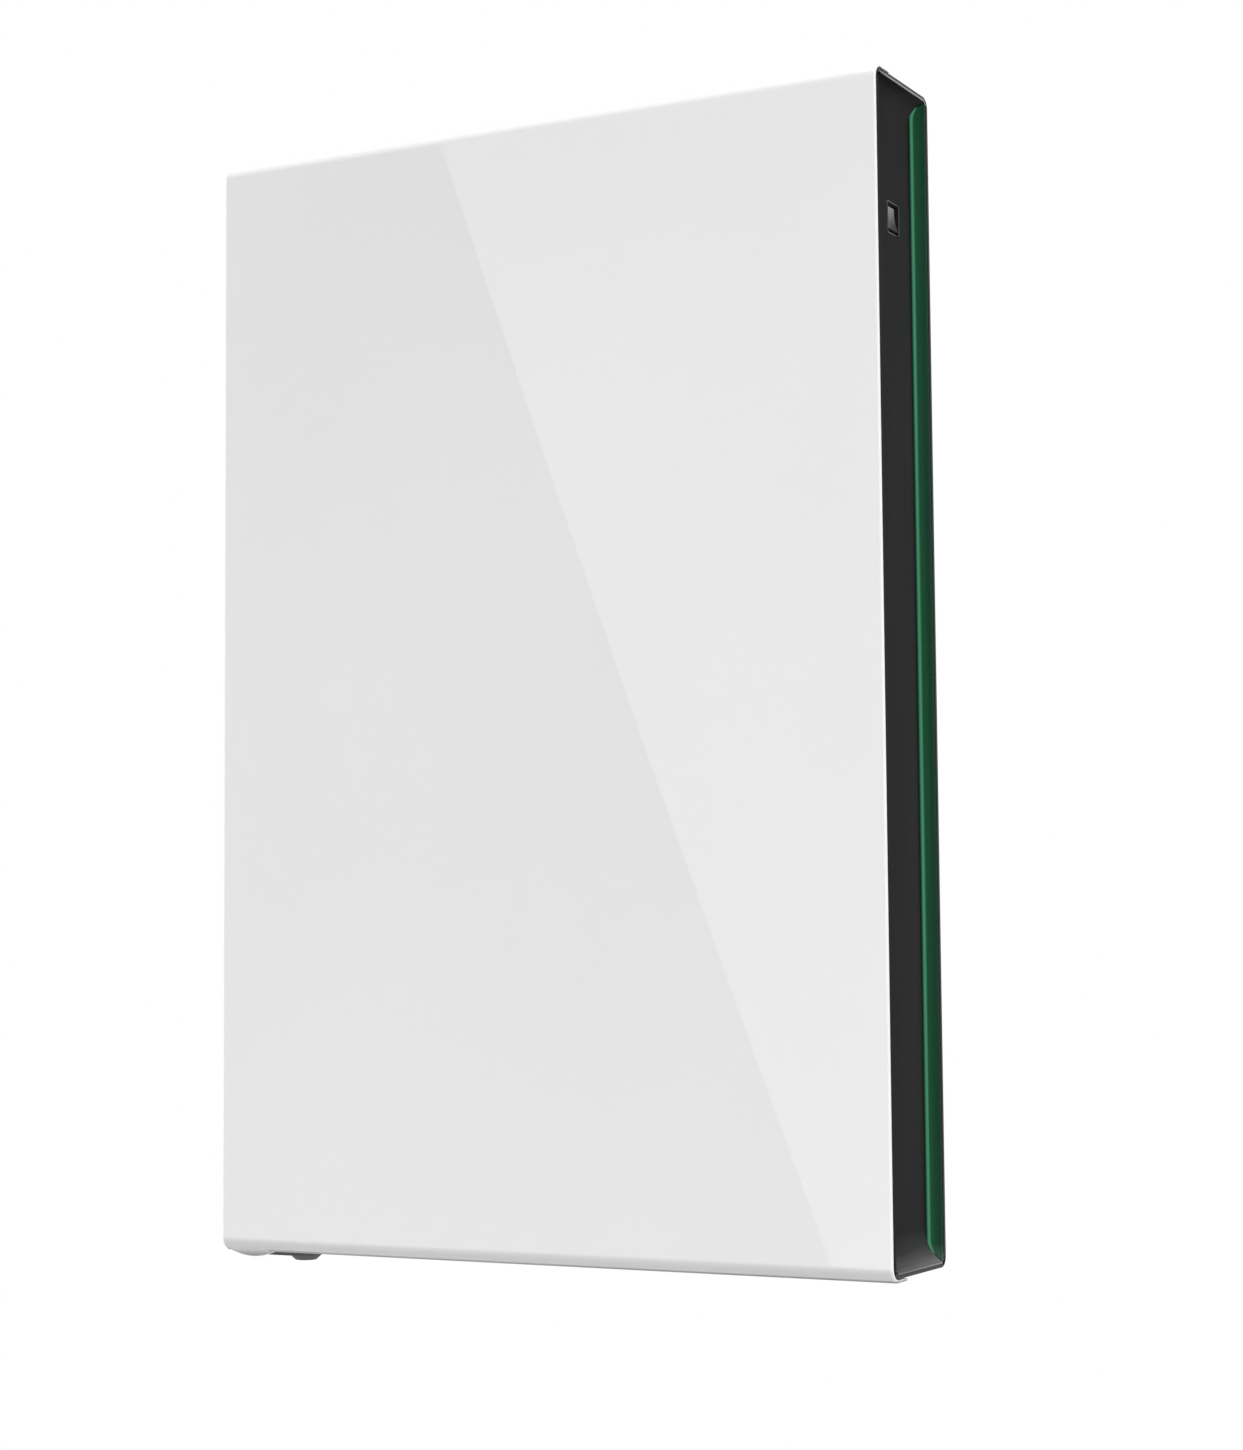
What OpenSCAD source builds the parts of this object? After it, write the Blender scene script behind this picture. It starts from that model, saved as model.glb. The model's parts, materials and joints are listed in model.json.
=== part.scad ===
// Wall battery unit: a home battery that hangs on a wall bracket, built as separate pieces.
// Pieces are drawn in the unit's own frame: X from the middle, Y from the front face towards
// the wall, Z from the lower edge of the front cover. place() then moves the wall bolts'
// centre, on the wall plane, to the origin.

/* [Overall] */
// Width across the front cover
unit_w = 753; // [680:1:830]
// Height of the front cover
unit_h = 1150; // [1035:1:1265]
// Depth from the wall to the front face
unit_d = 147; // [140:1:165]
// Space between the wall and the back of the shell
wall_gap = 14; // [12:0.5:18]
// Depth of the wall bolts' centre below the cover's top
bolt_drop = 350; // [300:5:400]

/* [Front cover] */
// Thickness of the cover
cover_t = 3; // [2:0.5:4]
// Outer radius of the rolled top and bottom edges
edge_r = 15; // [13:0.5:17]
// How far the cover wraps back over the top and bottom
cover_return = 36; // [25:1:45]
// Rounding of the cover's left and right edges
cover_side_r = 2; // [1:0.25:2.5]
// Width of the finger lug under the cover's lower left corner
lug_w = 52; // [40:1:54]
// How far the finger lug reaches below the cover
lug_drop = 6.5; // [4:0.5:9]
// Air gap between the cover and the shell
cover_shell_gap = 1; // [0.5:0.25:2]
// Radius of the studs that the cover clips onto
stud_r = 5; // [3:0.5:7]
// Wall of the clip rings
clip_wall = 3; // [2:0.5:4]
// Gap around a stud in its clip ring
clip_gap = 0.3; // [0.2:0.05:0.5]

/* [Shell] */
// Wall of the shell's top, bottom and dividers
shell_t = 3; // [2:0.5:4]
// Back wall of the shell
back_t = 4; // [3:0.5:5]
// Depth at which the shell's front lip starts
shell_front = 8; // [6:0.5:9]
// How far the shell's front lip reaches in past its wall
lip_in = 4.2; // [3:0.1:4.5]
// Width of the frame around each front window
flange_w = 14; // [12:0.5:18]
// Width of the front frame's post behind each side panel
post_w = 32; // [30:1:36]
// Width of the cooling and wiring bay on the left
left_bay_w = 97; // [94:1:99]
// Width of the switch and light bay on the right
right_bay_w = 32; // [30:1:34]

/* [Inner lid] */
// Depth of the lid's front face
lid_front = 11; // [10:0.5:12]
// Thickness of the lid
lid_t = 2; // [1.5:0.5:3]
// Thickness of the lid's seal
gasket_t = 2; // [1:0.5:3]
// Shank radius of the lid and panel screws
screw_r = 2.4; // [2:0.1:3]
// Lid screws along the top and bottom
lid_screws_across = 8; // [5:1:12]
// Lid screws along each side
lid_screws_up = 11; // [6:1:16]

/* [Side recess] */
// Depth of the recess in each end
recess_d = 18; // [14:0.5:20]
// Radius of the cove at the recess's top
cove_top_r = 21; // [20:0.5:30]
// Radius of the cove at the recess's bottom
cove_bottom_r = 34; // [24:0.5:45]
// Wall of the side panels
panel_t = 3; // [2:0.5:4]
// Gap between a side panel and the shell
panel_gap = 1; // [0.75:0.25:1.5]
// Height of the split between the wiring cover and the vent panel
split_h = 310; // [305:1:320]
// Height of one vent slot
slot_h = 6; // [4:0.5:7]
// Spacing of the vent slots
slot_pitch = 11; // [9:0.5:14]
// Vent slots in each grille
slot_count = 20; // [6:1:22]

/* [Status light] */
// Width of the bright light guide that shows in the recess
guide_show = 4; // [3:0.5:8]
// Thickness of the light guide
guide_t = 3; // [2:0.5:4]
// Thickness of the tinted lens beside the guide
lens_t = 2; // [1:0.5:2.5]
// Spacing of the lamps along the guide
lamp_pitch = 40; // [25:1:80]

/* [Power switch] */
// Depth of the switch's centre from the front face
switch_y = 84; // [70:1:95]
// Depth of the switch's centre below the cover's top
switch_drop = 133; // [110:1:250]
// Opening for the rocker, across
switch_across = 26; // [24:0.5:34]
// Opening for the rocker, up and down
switch_up = 28.5; // [27:0.5:36]
// Tilt of the rocker to each side
rocker_tilt = 10; // [6:0.5:12]
// Radius of the rocker's pivot pin
pivot_r = 1.5; // [1:0.1:2]
// Running clearance of the rocker on its pin
pivot_fit = 0.05; // [0.02:0.01:0.1]

/* [Wall bracket] */
// Width of the bracket
bracket_w = 560; // [480:5:640]
// Height of the bracket
bracket_h = 380; // [350:5:420]
// Thickness of the bracket's and hanger's steel
bracket_t = 2.5; // [2:0.25:3]
// Spacing of the wall bolts across
bolt_across = 406.4; // [400:0.1:420]
// Spacing of the wall bolts up and down
bolt_up = 300; // [250:5:310]
// Radius of the wall bolt holes
bolt_hole_r = 4.5; // [3.5:0.25:6]
// Height of the bracket's upturned lip
lip_h = 18; // [14:1:24]

/* [Battery] */
// Radius of one cell
cell_r = 23; // [16:0.25:26]
// Length of one cell
cell_l = 80; // [70:1:84]
// Space between neighbouring cells
cell_space = 2; // [1:0.25:6]
// Space above the upper module
top_space = 73; // [70:1:100]
// Space between a tray and the walls beside it
tray_side = 18; // [16:0.5:20]
// Wall of the module trays
tray_wall = 4; // [3:0.5:5]
// Thickness of the cold plates
cold_t = 8; // [6:0.5:10]
// Space between the two modules
module_gap = 22; // [18:1:26]

/* [Power electronics] */
// Height of the lower module above the cover's lower edge
electronics_h = 352; // [350:1:360]
// Thickness of the circuit boards
board_t = 2; // [1:0.1:2.5]
// Length of the inverter board's standoffs
standoff_l = 24; // [20:1:30]
// Height of the bulk capacitors
capacitor_l = 50; // [30:1:55]
// Thickness of the DC bars
bar_t = 3; // [2:0.5:4]

/* [Cooling] */
// Side of the square fan frames
fan_side = 92; // [80:1:95]
// Depth of the fan frames
fan_depth = 25.4; // [20:0.1:26]
// Blades on each fan
fan_blades = 7; // [5:1:11]
// Pitch of the fan blades from the shaft
blade_pitch = 50; // [35:1:60]
// Thickness of the radiator
radiator_t = 38; // [30:1:40]
// Radius of the coolant pipes
pipe_r = 6; // [5:0.25:6.5]
// Height of the coolant pump's shaft
pump_h = 705; // [700:1:730]

/* [Wiring] */
// Radius of the conduit hub's bore
conduit_r = 9; // [7:0.25:10]
// How far the conduit hub reaches below the cover
conduit_drop = 12; // [9:0.5:20]
// Terminal blocks on the rail
terminal_count = 8; // [4:1:9]

/* [Hidden] */
$fn = 64;

white = [0.92, 0.92, 0.91];
charcoal = [0.17, 0.17, 0.18];
black = [0.08, 0.08, 0.08];
steel = [0.62, 0.63, 0.65];
aluminium = [0.75, 0.76, 0.78];
copper = [0.80, 0.48, 0.30];
brass = [0.78, 0.65, 0.35];
board_green = [0.12, 0.35, 0.20];
light_green = [0.35, 0.80, 0.50];
lens_green = [0.10, 0.30, 0.20];
milky = [0.86, 0.88, 0.86];
capacitor_blue = [0.20, 0.25, 0.40];
insulator_red = [0.70, 0.25, 0.15];
terminal_grey = [0.55, 0.56, 0.57];

half_w = unit_w / 2;
body_d = unit_d - wall_gap;
bolt_centre_h = unit_h - bolt_drop;
switch_h = unit_h - switch_drop;

// How far a cut runs past a face, and a joined solid into its neighbour
cut = 1;

// Wider than any piece, for cuts that run right off
beyond = unit_h;

// Finger lug
lug_side = 28.5;
lug_x = lug_side - half_w;
lug_d = 28;
lug_back_gap = 2;
lug_y = cover_return - lug_back_gap - lug_d / 2;

// Studs on the lid and clip rings in the cover
stud_side = 126.5;
stud_end = 120;
stud_base_t = 1.5;
stud_base_out = 3;
stud_tip_gap = 0.5;
clip_lid_gap = 3;

// The shell stands this far inside the cover's outline
shell_inset = cover_t + cover_shell_gap;
shell_r = edge_r - shell_inset;
shell_seam = 0.2;
seam_z = shell_inset + shell_r;
floor_z = shell_inset + shell_t;
roof_z = unit_h - floor_z;
back_y = body_d - back_t;
frame_y = lid_front + lid_t + gasket_t;
bay_y = frame_y + shell_t;

// Planes of the end panels and of the walls between the bays
frame_panel_gap = 2;
panel_x = half_w - recess_d;
panel_in_x = panel_x - panel_t;
left_wall_x = left_bay_w - panel_in_x;
right_wall_x = panel_in_x - right_bay_w;
main_x0 = left_wall_x + shell_t;
main_x1 = right_wall_x - shell_t;
frame_x = panel_in_x - frame_panel_gap;

// Windows in the shell's front frame
window_z0 = floor_z + flange_w;
window_z1 = roof_z - flange_w;
main_window_x0 = main_x0 + flange_w;
main_window_x1 = main_x1 - flange_w;
left_window_x0 = post_w - frame_x;
left_window_x1 = left_wall_x - flange_w / 2;

// The lid stays inside the shell's front lip
lid_x0 = left_window_x0 - flange_w;
lid_x1 = main_x1 + shell_t / 2;
lid_lip_gap = 0.8;
lid_z0 = floor_z + lip_in + lid_lip_gap;
lid_z1 = unit_h - lid_z0;
gasket_w = 9;
gasket_inset = 1;
screw_clear = 0.35;
screw_hole_r = screw_r + screw_clear;
screw_head_out = 2.1;
screw_head_r = screw_r + screw_head_out;
screw_head_t = 2.8;
screw_seat_clear = 0.1;
screw_seat_r = screw_r + screw_seat_clear;
screw_past = 2;
socket_r = 1.7;
socket_d = 1.6;
lid_screw_inset = gasket_w / 2 + gasket_inset;

// Ends of the side panels, and centres of the coves that lead out to the rims
panel_z0 = floor_z + panel_gap;
panel_z1 = roof_z - panel_gap;
rim_edge = 1;
cove_bottom_z = panel_z0 + rim_edge + sqrt(pow(cove_bottom_r, 2) - pow(cove_bottom_r - recess_d, 2));
cove_top_z = panel_z1 - rim_edge - sqrt(pow(cove_top_r, 2) - pow(cove_top_r - recess_d, 2));
front_wall_y = lid_front - lid_t;
panel_lid_gap = 2;
panel_flange_x = panel_lid_gap - lid_x0;
panel_edge_gap = 0.5;
fixed_panel_gap = 0.3;
panel_rear_gap = 0.3;
panel_lip_w = 4.5;
panel_lip_gap = 1.5;
panel_lip_y = cover_t + panel_lip_gap;
panel_flange_end = 20;
panel_screw_end = 80;
panel_screw_x = (panel_flange_x + frame_x) / 2;
panel_flange_t = 3;
split_gap = 0.6;

// Light guide, lens and lamps on the recess's rear rim
guide_y = back_y - guide_t;
guide_hidden = 8;
guide_end = 10;
guide_blunt = 2;
guide_tip = half_w - guide_end - panel_x + guide_blunt;
guide_seam = 0.2;
lens_gap = 0.2;
panel_rear_y = guide_y - panel_rear_gap;
left_rear_y = back_y - panel_rear_gap;
lamp_gap = 0.5;
lamp_x = panel_x - guide_hidden - lamp_gap;
lamp_size = 3.4;
lamp_board_w = 14;
lamp_board_t = 1.4;
lamp_end = 20;
lamp_inset = 10;

// Rocker switch
pivot_in = 7.5;
pivot_x = panel_x - pivot_in;
rocker_gap = 0.5;
rocker_reach = 5.5;
rocker_end_gap = 1.9;
rocker_half = switch_up / 2 - rocker_end_gap;
rocker_back = 5;
hollow_r = 60;
hollow_d = 1.2;
hollow_floor = rocker_reach - hollow_d;
housing_wall = 1.5;
housing_depth = 12;
housing_x = pivot_x - housing_depth;
housing_flange = 4;
housing_flange_t = 2;
blade_l = 14;
blade_w = 6.3;
blade_t = 0.8;
blade_apart = 16;
blade_in = 5;

// Wall bracket and the hanger that hooks on it
plate_y = unit_d - bracket_t;
bracket_top = bolt_centre_h + bracket_h / 2;
bracket_bottom = bolt_centre_h - bracket_h / 2;
hook_gap = 0.75;
hook_y = plate_y - hook_gap - bracket_t;
lip_y = hook_y - hook_gap - bracket_t;
lip_top = bracket_top + lip_h;
hanger_side = 20;
hanger_w = bracket_w - 2 * hanger_side;
hanger_h = 35;
hook_clear = 4;
window_side = 100;
window_apart = 30;
lock_y = (body_d + plate_y) / 2;
lock_side = 60;
lock_x = bracket_w / 2 - lock_side;
lock_r = 3;
lock_gap = 0.4;
lock_seat = 0.1;
lock_head_out = 1.8;
lock_head_r = lock_r + lock_head_out;
lock_head_t = 4;
lock_screw_l = 14;
lock_hole_l = 16;
lock_block_w = 24;
lock_block_h = 20;
lock_tab_w = 40;
lock_tab_gap = 1;
pad_w = 60;
pad_h = 40;
pad_z = 120;

// Battery modules, centred in the main bay
tray_x0 = main_x0 + tray_side;
tray_x1 = main_x1 - tray_side;
lower_z = electronics_h;
tray_h = (roof_z - top_space - electronics_h - module_gap) / 2;
upper_z = electronics_h + tray_h + module_gap;
cell_pitch = 2 * cell_r + cell_space;
cell_cols = floor((tray_x1 - tray_x0 - 2 * tray_wall) / cell_pitch);
cell_rows = floor((tray_h - 2 * tray_wall) / cell_pitch);
cold_y = back_y - cold_t;
cell_y = cold_y - cell_l;
cell_gap = 0.3;
tray_setback = 4;
tray_front = cell_y + tray_setback;
holder_t = 8;
holder_inset = 1;
collector_t = 1.5;
collector_apart = 12;
collector_h = cell_pitch - collector_apart;
collector_y = cell_y - collector_t;
collector_inset = 8;
module_mid_x = (tray_x0 + tray_x1) / 2;
module_mid_y = (cell_y + cold_y) / 2;
monitor_w = 300;
monitor_d = 50;
chip_end = 30;
chip_pitch = 40;
chip_w = 16;
chip_h = 20;
chip_t = 4;
chip_in = 0.5;

// DC bars stand beside the trays
bar_w = 21;
bar_gap = 3.5;
bar_y = collector_y - bar_gap;
bar_right_x = tray_x1 + bar_gap;
bar_left_x = tray_x0 - bar_gap;
bar_drop = 112;
bar_bottom = electronics_h - bar_drop;
bar_top_gap = 10;
bar_upper_end = upper_z + tray_h - bar_top_gap;
bar_past = 14;
bar_lower_end = lower_z + collector_h + bar_past;
insulator_r = 7;
insulator_inset = 60;
insulator_drop = 40;
insulator_rise = 20;
link_t = 3;
link_h = 20;
link_y = bar_y + bar_w;
link_w = 44;

// Inverter on its own cold plate
inverter_t = 10;
inverter_y = back_y - inverter_t;
inverter_rise = 23;
inverter_z0 = floor_z + inverter_rise;
inverter_drop = 30;
inverter_z1 = electronics_h - inverter_drop;
board_y = inverter_y - standoff_l - board_t;
board_left_gap = 50;
board_x0 = tray_x0 + board_left_gap;
board_right_gap = 75;
board_x1 = tray_x1 - board_right_gap;
board_inset = 8;
board_z0 = inverter_z0 + board_inset;
board_z1 = inverter_z1 - board_inset;
board_mid_x = (board_x0 + board_x1) / 2;
block_w = 32;
block_y = link_y + link_t;
block_h = 90;
block_drop = 30;
block_z = bar_bottom - block_drop;
block_bar_gap = 6;
power_w = 62;
power_h = 106;
power_t = 17;
power_pitch = 90;
standoff_r = 4;
standoff_inset = 12;
capacitor_r = 17;
capacitor_pitch = 40;
capacitor_inset = 25;
inductor_r = 40;
inductor_bore = 18;
inductor_t = 26;
inductor_pitch = 90;
inductor_inset = 52;
relay_w = 32;
relay_h = 50;
relay_t = 28;
relay_pitch = 40;
relay_inset = 40;
large_part_end = 20;

// Control board above the upper module
control_w = 260;
control_h = 40;
control_in = 120;
control_x = main_window_x0 + control_in;
control_back = 30;
control_y = cell_y + control_back;
control_rise = 10;
control_z = upper_z + tray_h + control_rise;
control_post_r = 3.5;
control_post_inset = 6;

// Cooling bay on the left
shelf_t = 2;
shelf_drop = 10;
shelf_z = split_h - shelf_drop;
radiator_in = 26;
radiator_x1 = left_wall_x - radiator_in;
radiator_x0 = radiator_x1 - radiator_t;
radiator_rise = 30;
radiator_z0 = shelf_z + radiator_rise;
tank_h = 20;
core_h = 260;
fin_pitch = 8;
fin_t = 2;
fin_end = 5;
tube_t = 4;
tube_count = 8;
tube_inset = 8;
tube_end = 20;
radiator_z1 = radiator_z0 + core_h + 2 * tank_h;
shroud_t = 2;
shroud_x = radiator_x0 - shroud_t;
fan_x = shroud_x - fan_depth;
fan_y = (bay_y + back_y) / 2;
fan_apart = 4;
fan_space = fan_side + fan_apart;
fan_mid_z = (radiator_z0 + radiator_z1) / 2;
fan_rim = 2.5;
fan_bore_r = fan_side / 2 - fan_rim;
fan_tip_gap = 1.5;
fan_blade_r = fan_bore_r - fan_tip_gap;
fan_hub_r = 18;
fan_shaft_r = 1.5;
fan_base_t = 4;
fan_strut_w = 6;
fan_corner = 5;
fan_screw_r = 2.2;
pipe_gap = 0.5;
pipe_y = back_y - pipe_r - pipe_gap;
supply_x = (main_x0 + tray_x0) / 2;
supply_z = radiator_z0 + tank_h / 2;
return_x = (tray_x1 + main_x1) / 2;
return_rise = 25;
return_z = upper_z + tray_h + return_rise;
stub_r = 2.5;
stub_y = cold_y + cold_t / 2;
stub_inset = 40;
pipe_end = 20;

// Pump between the radiator and the tank
pump_in = 2;
pump_x = radiator_x0 + pump_in;
volute_r = 29;
volute_in = 40;
volute_y = bay_y + volute_in;
volute_l = 20;
motor_r = 26;
impeller_r = 20;
pump_wall = 3;
pump_shaft_r = 3;
pipe_wall = 2;
outlet_in = 1;
outlet_x = pump_x + volute_r - pipe_r - outlet_in;
inlet_l = 10;
inlet_y = volute_y - inlet_l;
motor_end = 8;
impeller_gap = 1;
vane_t = 2;
vane_count = 6;
tank_rise = 155;
tank_z0 = pump_h + tank_rise;
tank_drop = 28;
tank_z1 = roof_z - tank_drop;
tank_side_gap = 6;
tank_x0 = -panel_in_x + tank_side_gap;
tank_x1 = radiator_x1;
tank_front_gap = 6;
tank_y = bay_y + tank_front_gap;
tank_wall = 3;
neck_r = 16;
neck_bore = 12;
neck_h = 8;
cap_r = 19;
cap_h = 10;
cap_gap = 0.5;
cap_x = (tank_x0 + tank_x1) / 2;
cap_in = 60;
cap_y = back_y - cap_in;
hose_bend = 15;
hose_y = inlet_y - hose_bend;

// Wiring bay below the shelf
rail_d = 7.5;
rail_w = 35;
rail_y = (bay_y + back_y) / 2;
rail_z0 = 150;
rail_end_gap = 10;
rail_z1 = shelf_z - rail_end_gap;
terminal_pitch = 15;
terminal_t = 14.4;
terminal_d = 42;
terminal_w = 60;
terminal_start = 8;
terminal_hole_r = 3;
terminal_hole_d = 14;
terminal_hole_y = 20;
wire_hole_r = 4.5;
wire_hole_d = 11;
wire_hole_x = 24;
rail_t = 1;
rail_lip = 4.5;
earth_drop = 40;
earth_z = rail_z0 - earth_drop;
earth_size = 10;
earth_foot = 8;
earth_foot_r = 4;
earth_half = 40;
earth_foot_inset = 6;
earth_hole_r = 2.5;
earth_hole_pitch = 12;
conduit_in = 55;
conduit_x = left_wall_x - conduit_in;
conduit_back = 26;
conduit_y = cover_return + conduit_back;
hub_wall = 3.5;
hub_plate_w = 56;
hub_plate_d = 44;
hub_plate_r = 8;
hub_plate_t = 10.5;
hub_plate_shift = 10.5;
hub_plate_x = conduit_x - hub_plate_shift;
hub_plate_z = shell_inset - hub_plate_t;
hub_taper_r = 17;
hub_tip_r = 11;
hub_fit = 0.3;
hub_rise = 12;
nut_t = 6;
nut_out = 6;
nut_r = conduit_r + hub_wall + nut_out;

// Moves the unit so that the wall bolts' centre is the origin
module place() {
    translate([0, -unit_d, -bolt_centre_h]) children();
}

// A box between two opposite corners
module box(from, to) {
    translate(from) cube(to - from);
}

// Draws X and Z, and fills from one depth to another
module extrude_y(y0, y1) {
    translate([0, y1, 0]) rotate([90, 0, 0]) linear_extrude(y1 - y0) children();
}

// Draws Y and Z, and fills from one side to another
module extrude_x(x0, x1) {
    translate([x0, 0, 0]) rotate([90, 0, 90]) linear_extrude(x1 - x0) children();
}

module rod_x(x0, x1, y, z, r) {
    translate([x0, y, z]) rotate([0, 90, 0]) cylinder(h = x1 - x0, r = r);
}

module rod_y(x, y0, y1, z, r) {
    translate([x, y0, z]) rotate([-90, 0, 0]) cylinder(h = y1 - y0, r = r);
}

module rod_z(x, y, z0, z1, r) {
    translate([x, y, z0]) rotate([0, 0, -90]) cylinder(h = z1 - z0, r = r);
}

module rectangle(from, to) {
    translate(from) square(to - from);
}

module rounded_rectangle(from, to, r) {
    rectangle(from + [r, 0], to - [r, 0]);
    rectangle(from + [0, r], to - [0, r]);
    for (u = [from[0] + r, to[0] - r], v = [from[1] + r, to[1] - r])
        translate([u, v]) circle(r);
}

// Even places from one value to another
function spread(from, to, count) = [for (i = [0 : count - 1]) from + (to - from) * i / (count - 1)];

// As many even places as fit from one value to another at a least spacing
function fill(from, to, pitch) =
    to - from < pitch ? [(from + to) / 2] : spread(from, to, floor((to - from) / pitch) + 1);

// The space inside the front cover's sheet, in Y and Z
module cover_inside() {
    rounded_rectangle([cover_t, cover_t], [2 * beyond, unit_h - cover_t], edge_r - cover_t);
}

// Radius of an arc by its chord and its rise
function arc_r(chord, rise) = (pow(chord / 2, 2) + pow(rise, 2)) / (2 * rise);

// A shallow lug under the sheet's lower left corner, to pull the cover off by
module finger_lug() {
    across_r = arc_r(lug_w, lug_drop);
    along_r = arc_r(lug_d, lug_drop);
    difference() {
        intersection() {
            rod_y(lug_x, lug_y - lug_d / 2, lug_y + lug_d / 2, across_r - lug_drop, across_r);
            rod_x(lug_x - lug_w / 2, lug_x + lug_w / 2, lug_y, along_r - lug_drop, along_r);
        }
        extrude_x(-half_w, half_w) cover_inside();
    }
}

// Front cover: a sheet rolled over at the top and bottom
module front_cover() {
    color(white) {
        intersection() {
            extrude_x(-half_w, half_w) difference() {
                rounded_rectangle([0, 0], [beyond, unit_h], edge_r);
                cover_inside();
                rectangle([cover_return, -cut], [2 * beyond, unit_h + cut]);
            }
            linear_extrude(unit_h)
                rounded_rectangle([-half_w, 0], [half_w, beyond], cover_side_r);
        }
        finger_lug();
    }
}

module at_studs() {
    for (x = spread(stud_side - half_w, half_w - stud_side, 3), z = spread(stud_end, unit_h - stud_end, 4))
        translate([x, 0, z]) children();
}

module cover_clips() {
    clip_in = stud_r + clip_gap;
    color(white) at_studs() difference() {
        rod_y(0, cover_t, lid_front - clip_lid_gap, 0, clip_in + clip_wall);
        rod_y(0, cover_t + cut, lid_front, 0, clip_in);
    }
}

module cover_studs() {
    color(black) at_studs() {
        rod_y(0, cover_t + cut + stud_tip_gap, lid_front, 0, stud_r);
        rod_y(0, lid_front - stud_base_t, lid_front, 0, stud_r + stud_base_out);
    }
}

// Shell: a back sheet between a top and a bottom that are rolled in at the front to a lip
module shell_skin() {
    extrude_x(-half_w, half_w) difference() {
        rounded_rectangle([shell_inset, shell_inset], [body_d, unit_h - shell_inset], shell_r);
        rounded_rectangle([shell_inset + shell_t, floor_z], [back_y, roof_z], shell_r - shell_t);
        rectangle([bay_y, floor_z], [back_y, roof_z]);
        rectangle([0, 0], [shell_front, unit_h]);
        rectangle([0, floor_z + lip_in], [bay_y, roof_z - lip_in]);
    }
}

// Bosses on the back wall that take the wiring cover's screws
boss_end = 60;
boss_drop = 40;
boss_zs = [boss_end, split_h - boss_drop];
boss_size = 18;
boss_y = back_y - boss_size / 2;
boss_gap = 1;
boss_x0 = -panel_in_x + boss_gap;

module shell_bosses() {
    for (z = boss_zs)
        box([boss_x0, back_y - boss_size, z - boss_size / 2],
            [boss_x0 + boss_size, back_y - shell_seam, z + boss_size / 2]);
}

module rear_shell() {
    color(charcoal) difference() {
        union() {
            shell_skin();
            shell_bosses();
        }
        for (z = [seam_z, unit_h - seam_z])
            box([-half_w - cut, back_y - cut, z - shell_seam / 2],
                [half_w + cut, body_d + cut, z + shell_seam / 2]);
        for (z = boss_zs)
            rod_x(boss_x0 - cut, boss_x0 + boss_size + cut, boss_y, z, screw_hole_r);
        rod_z(conduit_x, conduit_y, 0, floor_z + cut, conduit_r + hub_wall + hub_fit);
    }
}

// Front frame between the top and bottom, with a window for each bay that the lid closes
module front_frame() {
    color(charcoal) difference() {
        extrude_y(frame_y, bay_y) difference() {
            rectangle([-frame_x, floor_z], [frame_x, roof_z]);
            rectangle([main_window_x0, window_z0], [main_window_x1, window_z1]);
            rectangle([left_window_x0, window_z0], [left_window_x1, window_z1]);
        }
        at_lid_screws() rod_y(0, frame_y - cut, bay_y + cut, 0, screw_seat_r);
        at_panel_screws() rod_y(0, frame_y - cut, bay_y + cut, 0, screw_seat_r);
    }
}

// Dividers between the bays: the coolant pipes pass through the left one
module bay_dividers() {
    color(charcoal) difference() {
        for (x = [left_wall_x, main_x1])
            box([x, bay_y, floor_z], [x + shell_t, back_y, roof_z]);
        for (z = [supply_z, return_z])
            rod_x(left_wall_x - cut, main_x0 + cut, pipe_y, z, pipe_r);
    }
}

// Lid over the main and left bays, with its seal and screws
module at_lid_screws() {
    xs = spread(lid_x0 + lid_screw_inset, lid_x1 - lid_screw_inset, lid_screws_across);
    zs = spread(lid_z0 + lid_screw_inset, lid_z1 - lid_screw_inset, lid_screws_up);
    for (x = xs, z = [zs[0], zs[lid_screws_up - 1]]) translate([x, 0, z]) children();
    for (x = [xs[0], xs[lid_screws_across - 1]], i = [1 : lid_screws_up - 2])
        translate([x, 0, zs[i]]) children();
}

module inner_lid() {
    color(aluminium) difference() {
        box([lid_x0, lid_front, lid_z0], [lid_x1, lid_front + lid_t, lid_z1]);
        at_lid_screws() rod_y(0, lid_front - cut, frame_y, 0, screw_hole_r);
    }
}

module lid_gasket() {
    outer0 = [lid_x0 + gasket_inset, lid_z0 + gasket_inset];
    outer1 = [lid_x1 - gasket_inset, lid_z1 - gasket_inset];
    color(black) difference() {
        extrude_y(lid_front + lid_t, frame_y) difference() {
            rectangle(outer0, outer1);
            rectangle(outer0 + [gasket_w, gasket_w], outer1 - [gasket_w, gasket_w]);
        }
        at_lid_screws() rod_y(0, lid_front, frame_y + cut, 0, screw_hole_r);
    }
}

// A screw along Z from its seat at the origin, with a hexagon socket in its head
module pan_screw(length) {
    difference() {
        translate([0, 0, -screw_head_t]) cylinder(h = screw_head_t, r = screw_head_r);
        translate([0, 0, -screw_head_t - cut]) cylinder(h = socket_d + cut, r = socket_r, $fn = 6);
    }
    translate([0, 0, -screw_head_t + socket_d]) cylinder(h = length + screw_head_t - socket_d, r = screw_r);
}

// Screws that hold the lid and the fixed side panels on the front frame
module case_screws() {
    color(steel) {
        at_lid_screws() translate([0, lid_front, 0]) rotate([-90, 0, 0])
            pan_screw(lid_t + gasket_t + shell_t + screw_past);
        at_panel_screws() translate([0, frame_y - panel_flange_t, 0]) rotate([-90, 0, 0])
            pan_screw(panel_flange_t + shell_t + screw_past);
    }
}

// How much further on a cove turns when it is set in, so that it meets the recess's own cove in a tip
function cove_delay(r, inset) = inset * tan(asin((r - guide_tip + inset / 2) / r));

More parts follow.
